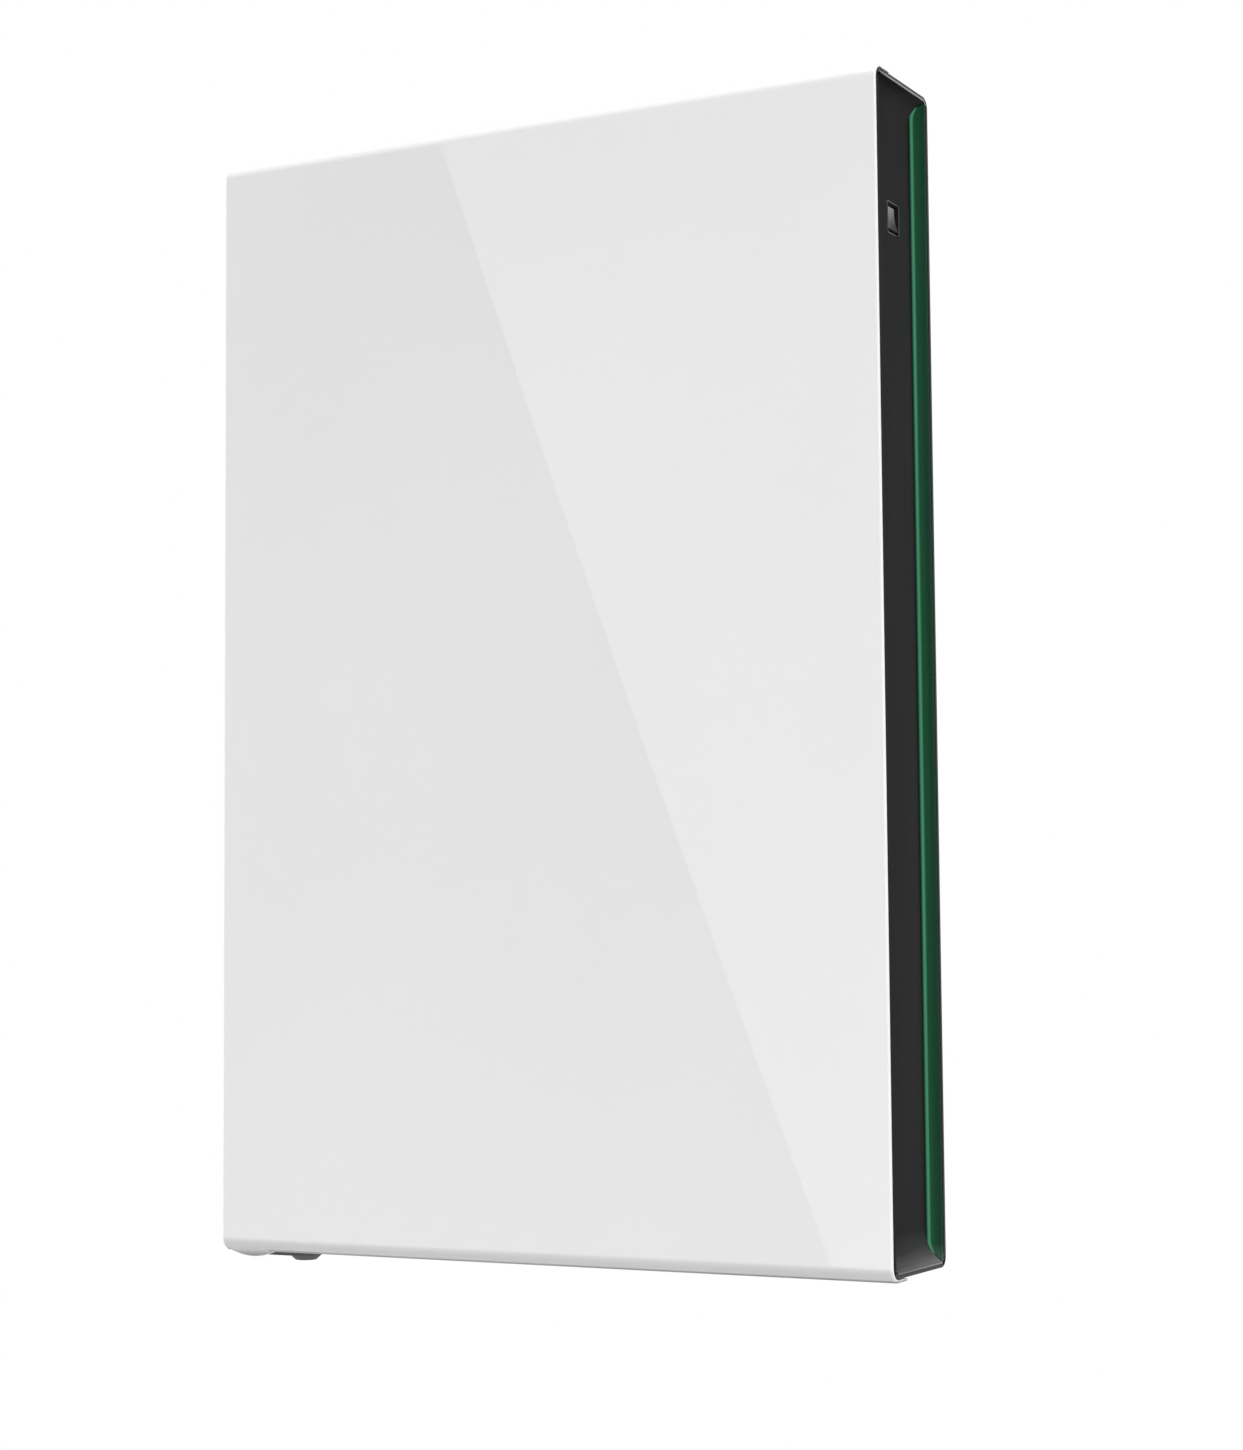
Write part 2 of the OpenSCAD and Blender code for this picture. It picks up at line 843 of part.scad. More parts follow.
// The air in an end's recess, drawn in X and Z for the right end, grown all round or set in
module recess_outline(grow, inset = 0) {
    x = panel_x + inset;
    z0 = cove_bottom_z - cove_delay(cove_bottom_r, inset);
    z1 = cove_top_z + cove_delay(cove_top_r, inset);
    rectangle([x - grow, z0], [half_w + recess_d, z1]);
    translate([x + cove_bottom_r, z0]) circle(cove_bottom_r + grow, $fn = 128);
    translate([x + cove_top_r, z1]) circle(cove_top_r + grow, $fn = 128);
}

// A scooped side panel for the right end between two heights
module panel_body(z0, z1, rear_y) {
    extrude_y(front_wall_y, rear_y) intersection() {
        difference() {
            recess_outline(panel_t);
            recess_outline(0);
        }
        rectangle([panel_in_x, max(z0, lid_z0)], [half_w - panel_edge_gap, min(z1, lid_z1)]);
    }
    extrude_y(frame_y, rear_y) intersection() {
        difference() {
            recess_outline(panel_t);
            recess_outline(0);
        }
        rectangle([panel_in_x, z0], [half_w - panel_edge_gap, z1]);
    }
    wall_z0 = max(z0, lid_z0);
    wall_z1 = min(z1, lid_z1);
    lip_x = half_w - rim_edge;
    box([panel_in_x, front_wall_y, wall_z0], [lip_x, front_wall_y + panel_t, wall_z1]);
    box([lip_x - panel_lip_w, panel_lip_y, wall_z0], [lip_x, front_wall_y + cut, wall_z1]);
}

// The inward flange that a side panel is screwed on by
module panel_flange(z0, z1) {
    box([panel_flange_x, frame_y - panel_flange_t, z0], [panel_in_x + cut, frame_y, z1]);
}

panel_screw_zs_right = spread(panel_screw_end, unit_h - panel_screw_end, 5);
panel_screw_zs_left = spread(split_h + panel_screw_end - panel_flange_end, unit_h - panel_screw_end, 4);

module at_panel_screws() {
    for (z = panel_screw_zs_right) translate([panel_screw_x, 0, z]) children();
    for (z = panel_screw_zs_left) translate([-panel_screw_x, 0, z]) children();
}

module right_side_panel() {
    color(charcoal) difference() {
        union() {
            panel_body(floor_z + fixed_panel_gap, roof_z - fixed_panel_gap, panel_rear_y);
            panel_flange(lid_z0 + panel_flange_end, lid_z1 - panel_flange_end);
        }
        at_panel_screws() rod_y(0, 0, frame_y + cut, 0, screw_hole_r);
        box([panel_in_x - cut, switch_y - switch_across / 2, switch_h - switch_up / 2],
            [panel_x + cut, switch_y + switch_across / 2, switch_h + switch_up / 2]);
    }
}

// Rows of slots through the left panel: warm air leaves at the fans and cool air enters above
grille_w = 78;
intake_rise = 60;
intake_z = (radiator_z1 + panel_z1) / 2 + intake_rise;

module vent_slots(mid_z) {
    for (i = [0 : slot_count - 1]) {
        z = mid_z + (i - (slot_count - 1) / 2) * slot_pitch;
        box([panel_in_x - cut, fan_y - grille_w / 2, z - slot_h / 2],
            [panel_x + cut, fan_y + grille_w / 2, z + slot_h / 2]);
    }
}

module left_vent_panel() {
    color(charcoal) difference() {
        mirror([1, 0, 0]) difference() {
            union() {
                panel_body(split_h + split_gap / 2, panel_z1, left_rear_y);
                panel_flange(split_h + panel_flange_end, lid_z1 - panel_flange_end);
            }
            vent_slots(fan_mid_z);
            vent_slots(intake_z);
        }
        at_panel_screws() rod_y(0, 0, frame_y + cut, 0, screw_hole_r);
    }
}

// Wiring cover: the lower part of the left panel, which pulls off sideways with its screws
module wiring_cover() {
    color(charcoal) difference() {
        mirror([1, 0, 0]) panel_body(panel_z0, split_h - split_gap / 2, left_rear_y);
        for (z = boss_zs) rod_x(-half_w, -panel_in_x + cut, boss_y, z, screw_hole_r);
    }
}

module wiring_cover_screws() {
    color(steel) for (z = boss_zs) translate([-panel_x, boss_y, z]) rotate([0, 90, 0])
        pan_screw(boss_x0 + boss_size - screw_past + panel_x);
}

// The light guide's outline in X and Z: a band along the recess's edge that ends in a tip in each cove
module guide_outline(grow) {
    difference() {
        intersection() {
            recess_outline(guide_hidden);
            rectangle([panel_x - guide_hidden, panel_z0], [half_w - guide_end + grow, panel_z1]);
        }
        recess_outline(0, guide_show + grow);
    }
}

// Light guide: a straight strip in the crease of the right recess, with an end piece in each cove
module light_guide() {
    color(light_green) extrude_y(guide_y, back_y) difference() {
        guide_outline(0);
        for (z = [cove_bottom_z, cove_top_z])
            rectangle([0, z - guide_seam / 2], [half_w, z + guide_seam / 2]);
    }
}

// Lens on the rest of the rear rim
module light_lens() {
    color(lens_green) extrude_y(back_y - lens_t, back_y) difference() {
        intersection() {
            recess_outline(-lens_gap);
            rectangle([panel_x, panel_z0], [half_w - rim_edge, panel_z1]);
        }
        guide_outline(lens_gap);
    }
}

module lamp_board() {
    lamp_z0 = cove_bottom_z + lamp_end;
    lamp_z1 = cove_top_z - lamp_end;
    color(board_green) {
        box([lamp_x - lamp_board_w, back_y - lamp_board_t, lamp_z0], [lamp_x, back_y, lamp_z1]);
        for (z = fill(lamp_z0 + lamp_inset, lamp_z1 - lamp_inset, lamp_pitch))
            box([lamp_x - lamp_size, guide_y, z - lamp_size / 2],
                [lamp_x, back_y - lamp_board_t / 2, z + lamp_size / 2]);
    }
}

// Power switch: the housing sits behind the right panel's opening
module switch_housing() {
    y0 = switch_y - switch_across / 2;
    y1 = switch_y + switch_across / 2;
    z0 = switch_h - switch_up / 2;
    z1 = switch_h + switch_up / 2;
    wall = housing_wall;
    color(black) difference() {
        union() {
            box([housing_x - wall, y0 - wall, z0 - wall], [panel_in_x, y1 + wall, z1 + wall]);
            box([panel_in_x - housing_flange_t, y0 - housing_flange, z0 - housing_flange],
                [panel_in_x, y1 + housing_flange, z1 + housing_flange]);
        }
        box([housing_x, y0, z0], [panel_in_x + cut, y1, z1]);
        rod_y(pivot_x, y0 - wall - cut, y1 + wall + cut, switch_h, pivot_r);
        at_switch_terminals() cube([blade_l, blade_w, blade_t], center = true);
    }
}

module at_switch_terminals() {
    for (z = [-blade_apart / 2, blade_apart / 2])
        translate([housing_x + blade_in - blade_l / 2, switch_y, switch_h + z]) children();
}

module switch_terminals() {
    color(brass) at_switch_terminals() cube([blade_l, blade_w, blade_t], center = true);
}

// The rocker rests with its bottom end out
module switch_rocker() {
    half = switch_across / 2 - rocker_gap;
    color(black) translate([pivot_x, 0, switch_h]) rotate([0, -rocker_tilt, 0])
        extrude_y(switch_y - half, switch_y + half) difference() {
            rectangle([-rocker_back, -rocker_half], [rocker_reach, rocker_half]);
            translate([hollow_floor + hollow_r, 0]) circle(hollow_r, $fn = 128);
            circle(pivot_r + pivot_fit);
        }
}

module switch_pin() {
    half = switch_across / 2 + housing_wall;
    color(steel) rod_y(pivot_x, switch_y - half, switch_y + half, switch_h, pivot_r);
}

// Wall bracket: a steel plate with an upturned lip above and two tabs below
module wall_bracket() {
    window_at = (window_side + window_apart) / 2;
    color(steel) difference() {
        union() {
            extrude_y(plate_y, unit_d) difference() {
                rectangle([-bracket_w / 2, bracket_bottom], [bracket_w / 2, bracket_top]);
                for (u = [-window_at, window_at], v = [bolt_centre_h - window_at, bolt_centre_h + window_at])
                    translate([u, v]) square(window_side, center = true);
            }
            box([-bracket_w / 2, lip_y, bracket_top - bracket_t], [bracket_w / 2, unit_d, bracket_top]);
            box([-bracket_w / 2, lip_y, bracket_top - bracket_t],
                [bracket_w / 2, lip_y + bracket_t, lip_top]);
            for (x = [-lock_x, lock_x])
                box([x - lock_tab_w / 2, body_d + lock_tab_gap, bracket_bottom],
                    [x + lock_tab_w / 2, unit_d, bracket_bottom + bracket_t]);
        }
        for (x = [-bolt_across / 2, bolt_across / 2], z = [-bolt_up / 2, bolt_up / 2])
            rod_y(x, plate_y - cut, unit_d + cut, bolt_centre_h + z, bolt_hole_r);
        for (x = [-lock_x, lock_x])
            rod_z(x, lock_y, bracket_bottom - cut, bracket_bottom + bracket_t + cut, lock_r + lock_gap);
    }
}

// Hanger rail on the shell's back, hooked over the bracket's lip
module hanger_rail() {
    color(steel) extrude_x(-hanger_w / 2, hanger_w / 2) {
        rectangle([body_d, lip_top], [body_d + bracket_t, lip_top + hanger_h]);
        rectangle([body_d, lip_top], [hook_y + bracket_t, lip_top + bracket_t]);
        rectangle([hook_y, lip_top - lip_h + hook_clear], [hook_y + bracket_t, lip_top + bracket_t]);
    }
}

module lock_blocks() {
    z0 = bracket_bottom + bracket_t;
    color(steel) for (x = [-lock_x, lock_x]) difference() {
        box([x - lock_block_w / 2, body_d, z0],
            [x + lock_block_w / 2, plate_y - hook_gap, z0 + lock_block_h]);
        rod_z(x, lock_y, z0 - cut, z0 + lock_hole_l, lock_r + lock_seat);
    }
}

module lock_screws() {
    color(steel) for (x = [-lock_x, lock_x]) {
        rod_z(x, lock_y, bracket_bottom - lock_head_t, bracket_bottom, lock_head_r);
        rod_z(x, lock_y, bracket_bottom - cut, bracket_bottom + bracket_t + lock_screw_l, lock_r);
    }
}

// Pads that keep the unit's lower end upright against the wall
module wall_pads() {
    color(black) for (x = [-lock_x, lock_x])
        box([x - pad_w / 2, body_d, pad_z], [x + pad_w / 2, unit_d, pad_z + pad_h]);
}

// Height of a row of cells above the module's lower edge
function row_h(row) = tray_h / 2 + (row - (cell_rows - 1) / 2) * cell_pitch;

// Places of the cells in a module whose lower edge is at z
module at_cells(z) {
    for (i = [0 : cell_cols - 1], j = [0 : cell_rows - 1])
        translate([
            module_mid_x + (i - (cell_cols - 1) / 2) * cell_pitch,
            z + row_h(j)
        ]) children();
}

module tray(z) {
    color(milky) {
        extrude_y(tray_front, cold_y) difference() {
            rectangle([tray_x0, z], [tray_x1, z + tray_h]);
            rectangle([tray_x0 + tray_wall, z + tray_wall], [tray_x1 - tray_wall, z + tray_h - tray_wall]);
        }
        extrude_y(module_mid_y, module_mid_y + holder_t) difference() {
            rectangle([tray_x0 + holder_inset, z + holder_inset],
                [tray_x1 - holder_inset, z + tray_h - holder_inset]);
            at_cells(z) circle(cell_r + cell_gap);
        }
    }
}

module module_trays() {
    for (z = [lower_z, upper_z]) tray(z);
}

module cells(z) {
    color(steel) extrude_y(cell_y, cold_y) at_cells(z) circle(cell_r);
}

module upper_cells() {
    cells(upper_z);
}

module lower_cells() {
    cells(lower_z);
}

// Collector strips on the cells' front ends. One strip of each module reaches its DC bar.
module collector_strip(z, row, x0, x1) {
    mid = z + row_h(row);
    box([x0, collector_y, mid - collector_h / 2], [x1, cell_y, mid + collector_h / 2]);
}

module collector_strips() {
    last = cell_rows - 1;
    x0 = tray_x0 + collector_inset;
    x1 = tray_x1 - collector_inset;
    color(copper) for (row = [0 : last]) {
        collector_strip(upper_z, row, x0, row == last ? bar_right_x : x1);
        collector_strip(lower_z, row, row == 0 ? bar_left_x : x0, x1);
    }
}

module cold_plates() {
    color(aluminium) for (z = [lower_z, upper_z])
        box([tray_x0, cold_y, z], [tray_x1, back_y, z + tray_h]);
}

// Monitor boards lie on top of the trays
module cell_monitor_boards() {
    x0 = module_mid_x - monitor_w / 2;
    x1 = module_mid_x + monitor_w / 2;
    y0 = module_mid_y - monitor_d / 2;
    color(board_green) for (z = [lower_z + tray_h, upper_z + tray_h]) {
        box([x0, y0, z], [x1, y0 + monitor_d, z + board_t]);
        for (x = fill(x0 + chip_end, x1 - chip_end, chip_pitch))
            translate([x - chip_w / 2, module_mid_y - chip_h / 2, z + board_t - chip_in])
                cube([chip_w, chip_h, chip_t + chip_in]);
    }
}

// DC bars down to the contactor and the fuse
module dc_busbars() {
    color(copper) {
        box([bar_right_x, bar_y, bar_bottom], [bar_right_x + bar_t, link_y, bar_upper_end]);
        box([bar_right_x - link_w, link_y - cut, bar_bottom],
            [bar_right_x + bar_t, block_y, bar_bottom + link_h]);
        box([bar_left_x - bar_t, bar_y, bar_bottom], [bar_left_x, link_y, bar_lower_end]);
        box([bar_left_x - bar_t, link_y - cut, bar_bottom],
            [bar_left_x + link_w, block_y, bar_bottom + link_h]);
    }
}

module busbar_insulators() {
    y = bar_y + bar_w / 2;
    color(insulator_red) {
        for (z = spread(lower_z, upper_z + tray_h - insulator_inset, 3))
            rod_x(bar_right_x + bar_t, main_x1, y, z, insulator_r);
        for (z = [lower_z - insulator_drop, lower_z + insulator_rise])
            rod_x(main_x0, bar_left_x - bar_t, y, z, insulator_r);
    }
}

// Inverter: power modules on a cold plate, under a board with the large parts
module inverter_cold_plate() {
    color(aluminium) box([tray_x0, inverter_y, inverter_z0], [tray_x1, back_y, inverter_z1]);
}

module power_modules() {
    mid_z = (board_z0 + board_z1) / 2;
    end = standoff_inset + standoff_r + power_w / 2;
    color(black) for (x = fill(board_x0 + end, board_x1 - end, power_pitch))
        box([x - power_w / 2, inverter_y - power_t, mid_z - power_h / 2],
            [x + power_w / 2, inverter_y, mid_z + power_h / 2]);
}

module inverter_board() {
    color(board_green) box([board_x0, board_y, board_z0], [board_x1, board_y + board_t, board_z1]);
}

module board_standoffs() {
    xs = spread(board_x0 + standoff_inset, board_x1 - standoff_inset, 3);
    color(brass) for (x = xs, z = [board_z0 + standoff_inset, board_z1 - standoff_inset])
        rod_y(x, board_y + board_t, inverter_y, z, standoff_r);
}

module capacitors() {
    x0 = board_x0 + large_part_end + capacitor_r;
    top = board_z1 - capacitor_inset;
    color(capacitor_blue) for (x = fill(x0, board_mid_x - capacitor_r, capacitor_pitch))
        for (z = [top, top - capacitor_pitch])
            rod_y(x, board_y - capacitor_l, board_y, z, capacitor_r);
}

module inductors() {
    end = large_part_end + inductor_r;
    z = board_z0 + inductor_inset;
    color(copper) for (x = fill(board_x0 + end, board_x1 - end, inductor_pitch)) difference() {
        rod_y(x, board_y - inductor_t, board_y, z, inductor_r);
        rod_y(x, board_y - inductor_t - cut, board_y + cut, z, inductor_bore);
    }
}

module relays() {
    x0 = board_mid_x + large_part_end + relay_w / 2;
    z1 = board_z1 - relay_inset;
    color(black) for (x = fill(x0, board_x1 - large_part_end - relay_w / 2, relay_pitch))
        box([x - relay_w / 2, board_y - relay_t, z1 - relay_h], [x + relay_w / 2, board_y, z1]);
}

module dc_contactor() {
    x1 = bar_right_x - block_bar_gap;
    color(black) box([x1 - block_w, block_y, block_z], [x1, inverter_y, block_z + block_h]);
}

module main_fuse() {
    x0 = bar_left_x + block_bar_gap;
    color(milky) box([x0, block_y, block_z], [x0 + block_w, inverter_y, block_z + block_h]);
}

module control_board() {
    x0 = control_x;
    x1 = control_x + control_w;
    z0 = control_z;
    z1 = control_z + control_h;
    inset = control_post_inset;
    color(board_green) {
        box([x0, control_y, z0], [x1, control_y + board_t, z1]);
        for (x = fill(x0 + chip_end, x1 - chip_end, chip_pitch))
            translate([x - chip_w / 2, control_y - chip_t, (z0 + z1 - chip_h) / 2])
                cube([chip_w, chip_t + chip_in, chip_h]);
        for (x = [x0 + inset, x1 - inset], z = [z0 + inset, z1 - inset])
            rod_y(x, control_y + chip_in, back_y, z, control_post_r);
    }
}

// Shelf between the wiring bay and the cooling bay
module bay_shelf() {
    color(aluminium) box([-frame_x, bay_y, shelf_z], [left_wall_x, back_y, shelf_z + shelf_t]);
}

// Two fans blow out through the left panel's lower grille
fan_zs = [fan_mid_z - fan_space / 2, fan_mid_z + fan_space / 2];

module fan_shroud() {
    color(steel) extrude_x(shroud_x, radiator_x0) difference() {
        rectangle([bay_y, radiator_z0], [back_y, radiator_z1]);
        for (z = fan_zs) translate([fan_y, z]) circle(fan_bore_r);
    }
}

// A square frame with a round bore and a screw hole in each corner
module fan_frame_outline() {
    half = fan_side / 2;
    difference() {
        rectangle([-half, -half], [half, half]);
        circle(fan_bore_r);
        for (y = [-1, 1], z = [-1, 1]) translate([y, z] * (half - fan_corner)) circle(fan_screw_r);
    }
}

// The motor's seat, on four struts
module fan_base_outline() {
    difference() {
        union() {
            circle(fan_hub_r);
            for (angle = [45 : 90 : 315]) rotate(angle)
                rectangle([0, -fan_strut_w / 2], [fan_bore_r + 1, fan_strut_w / 2]);
        }
        circle(fan_shaft_r + pivot_fit);
    }
}

module fan_frames() {
    color(black) for (z = fan_zs) translate([0, fan_y, z]) {
        extrude_x(fan_x, shroud_x) fan_frame_outline();
        extrude_x(shroud_x - fan_base_t, shroud_x) fan_base_outline();
    }
}

module fan_blade(x0, x1) {
    intersection() {
        difference() {
            rod_x(x0, x1, 0, 0, fan_blade_r);
            rod_x(x0 - cut, x1 + cut, 0, 0, fan_hub_r - 1);
        }
        translate([(x0 + x1) / 2, 0, 0]) rotate([0, 0, blade_pitch])
            translate([-fan_side / 2, -1, 0]) cube([fan_side, 2, fan_blade_r]);
    }
}

module fan_rotor(z) {
    x0 = fan_x + 2;
    x1 = shroud_x - fan_base_t - 0.8;
    color(black) translate([0, fan_y, z]) {
        rod_x(x0, x1, 0, 0, fan_hub_r);
        rod_x(x0 + cut, shroud_x - 0.5, 0, 0, fan_shaft_r);
        for (i = [0 : fan_blades - 1])
            rotate([i * 360 / fan_blades, 0, 0]) fan_blade(x0 + 1, x1 - 1);
    }
}

module lower_fan_rotor() {
    fan_rotor(fan_zs[0]);
}

module upper_fan_rotor() {
    fan_rotor(fan_zs[1]);
}

// Radiator: a finned core between two tanks
module radiator() {
    core_z0 = radiator_z0 + tank_h;
    core_z1 = radiator_z1 - tank_h;
    color(aluminium) {
        for (z = [radiator_z0, core_z1])
            box([radiator_x0, bay_y + fin_t / 2, z], [radiator_x1, back_y, z + tank_h]);
        for (y = fill(bay_y + fin_end, back_y - fin_end, fin_pitch))
            box([radiator_x0 + fin_t / 2, y - fin_t / 2, core_z0 - cut],
                [radiator_x1 - fin_t / 2, y + fin_t / 2, core_z1 + cut]);
        for (z = spread(core_z0 + tube_end, core_z1 - tube_end, tube_count))
            box([radiator_x0 + tube_inset, bay_y + fin_end - fin_t, z - tube_t / 2],
                [radiator_x1 - tube_inset, back_y - fin_end + fin_t, z + tube_t / 2]);
    }
}

// Pump: the shaft runs front to back, the inlet is in front and the outlet points down
module pump_body() {
    v0 = volute_y;
    v1 = volute_y + volute_l;
    color(black) difference() {
        union() {
            rod_y(pump_x, v0, v1, pump_h, volute_r);
            rod_y(pump_x, v1 - cut, back_y, pump_h, motor_r);
            rod_y(pump_x, inlet_y, v0 + cut, pump_h, pipe_r + pipe_wall);
            rod_z(outlet_x, (v0 + v1) / 2, radiator_z1, pump_h, pipe_r);
        }
        rod_y(pump_x, v0 + pump_wall, v1 - pump_wall, pump_h, volute_r - pump_wall);
        rod_y(pump_x, inlet_y - cut, v0 + pump_wall + cut, pump_h, pipe_r - pipe_wall / 2);
        rod_y(pump_x, v1 - pump_wall - cut, back_y - motor_end, pump_h, pump_shaft_r + pivot_fit);
        rod_z(outlet_x, (v0 + v1) / 2, radiator_z1 - cut, pump_h, pipe_r - pipe_wall);
    }
}

module pump_impeller() {
    v0 = volute_y + pump_wall + impeller_gap;
    v1 = volute_y + volute_l - pump_wall - impeller_gap;
    color(milky) {
        rod_y(pump_x, v1 - pump_wall, v1, pump_h, impeller_r);
        rod_y(pump_x, v0, v1, pump_h, pump_shaft_r + pump_wall);
        rod_y(pump_x, v1 - cut, back_y - motor_end - impeller_gap, pump_h, pump_shaft_r);
        for (i = [0 : vane_count - 1]) translate([pump_x, v0, pump_h]) rotate([0, i * 360 / vane_count, 0])
            translate([pump_shaft_r, 0, -vane_t / 2])
                cube([impeller_r - pump_shaft_r - cut, v1 - v0 - cut, vane_t]);
    }
}

// Expansion tank, with its cap on top
module coolant_tank() {
    color(milky) difference() {
        union() {
            box([tank_x0, tank_y, tank_z0], [tank_x1, back_y, tank_z1 - neck_h]);
            rod_z(cap_x, cap_y, tank_z1 - neck_h - cut, tank_z1, neck_r);
        }
        box([tank_x0 + tank_wall, tank_y + tank_wall, tank_z0 + tank_wall],
            [tank_x1 - tank_wall, back_y - tank_wall, tank_z1 - neck_h - tank_wall]);
        rod_z(cap_x, cap_y, tank_z1 - neck_h - tank_wall - cut, tank_z1 + cut, neck_bore);
        rod_z(pump_x, hose_y, tank_z0 - cut, tank_z0 + tank_wall + cut, pipe_r - pipe_wall);
    }
}

module tank_cap() {
    color(black) {
        rod_z(cap_x, cap_y, tank_z1, tank_z1 + cap_h, cap_r);
        rod_z(cap_x, cap_y, tank_z1 - neck_h, tank_z1 + cut, neck_bore - cap_gap);
    }
}

// Hose from the tank's floor, round one bend into the pump's inlet
module pump_hose() {
    color(black) {
        rod_z(pump_x, hose_y, pump_h + hose_bend, tank_z0, pipe_r);
        translate([pump_x, inlet_y, pump_h + hose_bend]) rotate([90, 0, 90]) rotate([0, 0, 180])
            rotate_extrude(angle = 90) translate([hose_bend, 0]) circle(pipe_r);
    }
}

// Supply pipe: from the radiator's lower tank up the left edge of the cold plates
module supply_pipe() {
    stub_zs = [inverter_z0, lower_z, upper_z] + stub_inset * [1, 1, 1];
    rod_z(supply_x, pipe_y, stub_zs[0] - pipe_end, stub_zs[2] + pipe_end, pipe_r);
    rod_x(radiator_x1, supply_x, pipe_y, supply_z, pipe_r - pipe_gap);
    for (z = stub_zs) rod_x(supply_x, tray_x0, stub_y, z, stub_r);
}

// Return pipe: up the right edge, then across the top to the tank
module return_pipe() {
    stub_zs = [inverter_z1, lower_z + tray_h, upper_z + tray_h] - stub_inset * [1, 1, 1];
    rod_z(return_x, pipe_y, stub_zs[0] - pipe_end, return_z + pipe_r + pipe_wall, pipe_r);
    rod_x(tank_x1, return_x, pipe_y, return_z, pipe_r - pipe_gap);
    for (z = stub_zs) rod_x(tray_x1, return_x, stub_y, z, stub_r);
}

module coolant_pipes() {
    color(aluminium) {
        supply_pipe();
        return_pipe();
    }
}

// Terminal rail and blocks on the left divider, facing the wiring cover
module terminal_rail() {
    color(steel) translate([0, 0, rail_z0]) linear_extrude(rail_z1 - rail_z0) {
        half = rail_w / 2 - rail_lip;
        rectangle([left_wall_x - rail_t, rail_y - half], [left_wall_x, rail_y + half]);
        for (side = [-1, 1]) translate([left_wall_x, rail_y + side * half]) {
            rectangle([-rail_d, -rail_t / 2], [0, rail_t / 2]);
            rectangle([-rail_d, min(0, side * rail_lip)], [rail_t - rail_d, max(0, side * rail_lip)]);
        }
    }
}

module terminal_blocks() {
    x1 = left_wall_x - rail_d;
    x0 = x1 - terminal_d;
    color(terminal_grey) for (i = [0 : terminal_count - 1]) {
        z = rail_z0 + terminal_start + i * terminal_pitch;
        mid_z = z + terminal_t / 2;
        difference() {
            box([x0, rail_y - terminal_w / 2, z], [x1, rail_y + terminal_w / 2, z + terminal_t]);
            for (side = [-1, 1]) {
                screw_y = rail_y + side * terminal_hole_y;
                rod_x(x0 - cut, x0 + terminal_hole_d, screw_y, mid_z, terminal_hole_r);
                translate([0, rail_y + side * terminal_w / 2, 0])
                    rod_y(x0 + wire_hole_x, -wire_hole_d, wire_hole_d, mid_z, wire_hole_r);
            }
        }
    }
}

// Earth bar on two feet, below the terminal rail
module earth_bar() {
    x1 = left_wall_x - earth_foot;
    y0 = rail_y - earth_half;
    y1 = rail_y + earth_half;
    mid_z = earth_z + earth_size / 2;
    color(brass) difference() {
        union() {
            box([x1 - earth_size, y0, earth_z], [x1, y1, earth_z + earth_size]);
            for (y = [y0 + earth_foot_inset, y1 - earth_foot_inset])
                rod_x(x1 - cut, left_wall_x, y, mid_z, earth_foot_r);
        }
        for (y = fill(y0 + earth_size, y1 - earth_size, earth_hole_pitch))
            rod_x(x1 - earth_size - cut, x1 - earth_size / 2, y, mid_z, earth_hole_r);
    }
}

// Conduit hub through the floor of the wiring bay, on a plate, with a tapered end
module conduit_hub() {
    plate_half = [hub_plate_w / 2, hub_plate_d / 2];
    color(charcoal) difference() {
        union() {
            translate([hub_plate_x, conduit_y, hub_plate_z]) linear_extrude(hub_plate_t)
                rounded_rectangle(-plate_half, plate_half, hub_plate_r);
            translate([conduit_x, conduit_y, -conduit_drop])
                cylinder(h = conduit_drop + hub_plate_z, r1 = hub_tip_r, r2 = hub_taper_r);
            rod_z(conduit_x, conduit_y, 0, floor_z + hub_rise, conduit_r + hub_wall);
        }
        rod_z(conduit_x, conduit_y, -conduit_drop - cut, floor_z + hub_rise + cut, conduit_r);
    }
}

module hub_nut() {
    color(steel) difference() {
        translate([conduit_x, conduit_y, floor_z]) cylinder(h = nut_t, r = nut_r, $fn = 8);
        rod_z(conduit_x, conduit_y, 0, floor_z + nut_t + cut, conduit_r + hub_wall + hub_fit);
    }
}

place() front_cover();
place() cover_clips();
place() cover_studs();
place() rear_shell();
place() front_frame();
place() bay_dividers();
place() inner_lid();
place() lid_gasket();
place() case_screws();
place() right_side_panel();
place() left_vent_panel();
place() wiring_cover();
place() wiring_cover_screws();
place() light_guide();
place() light_lens();
place() lamp_board();
place() switch_housing();
place() switch_rocker();
place() switch_pin();
place() switch_terminals();
place() wall_bracket();
place() hanger_rail();
place() lock_blocks();
place() lock_screws();
place() wall_pads();
place() module_trays();
place() upper_cells();
place() lower_cells();
place() collector_strips();
place() cold_plates();
place() cell_monitor_boards();
place() dc_busbars();
place() busbar_insulators();
place() inverter_cold_plate();
place() power_modules();
place() inverter_board();
place() board_standoffs();
place() capacitors();
place() inductors();
place() relays();
place() dc_contactor();
place() main_fuse();
place() control_board();
place() bay_shelf();
place() fan_shroud();
place() fan_frames();
place() upper_fan_rotor();
place() lower_fan_rotor();
place() radiator();
place() pump_body();
place() pump_impeller();
place() coolant_tank();
place() tank_cap();
place() coolant_pipes();
place() pump_hose();
place() terminal_rail();
place() terminal_blocks();
place() earth_bar();
place() conduit_hub();
place() hub_nut();
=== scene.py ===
"""Looks of the wall battery unit: materials, softened edges, the rolled cover, light and camera."""
import json
import math

import bpy
from mathutils import Matrix, Vector


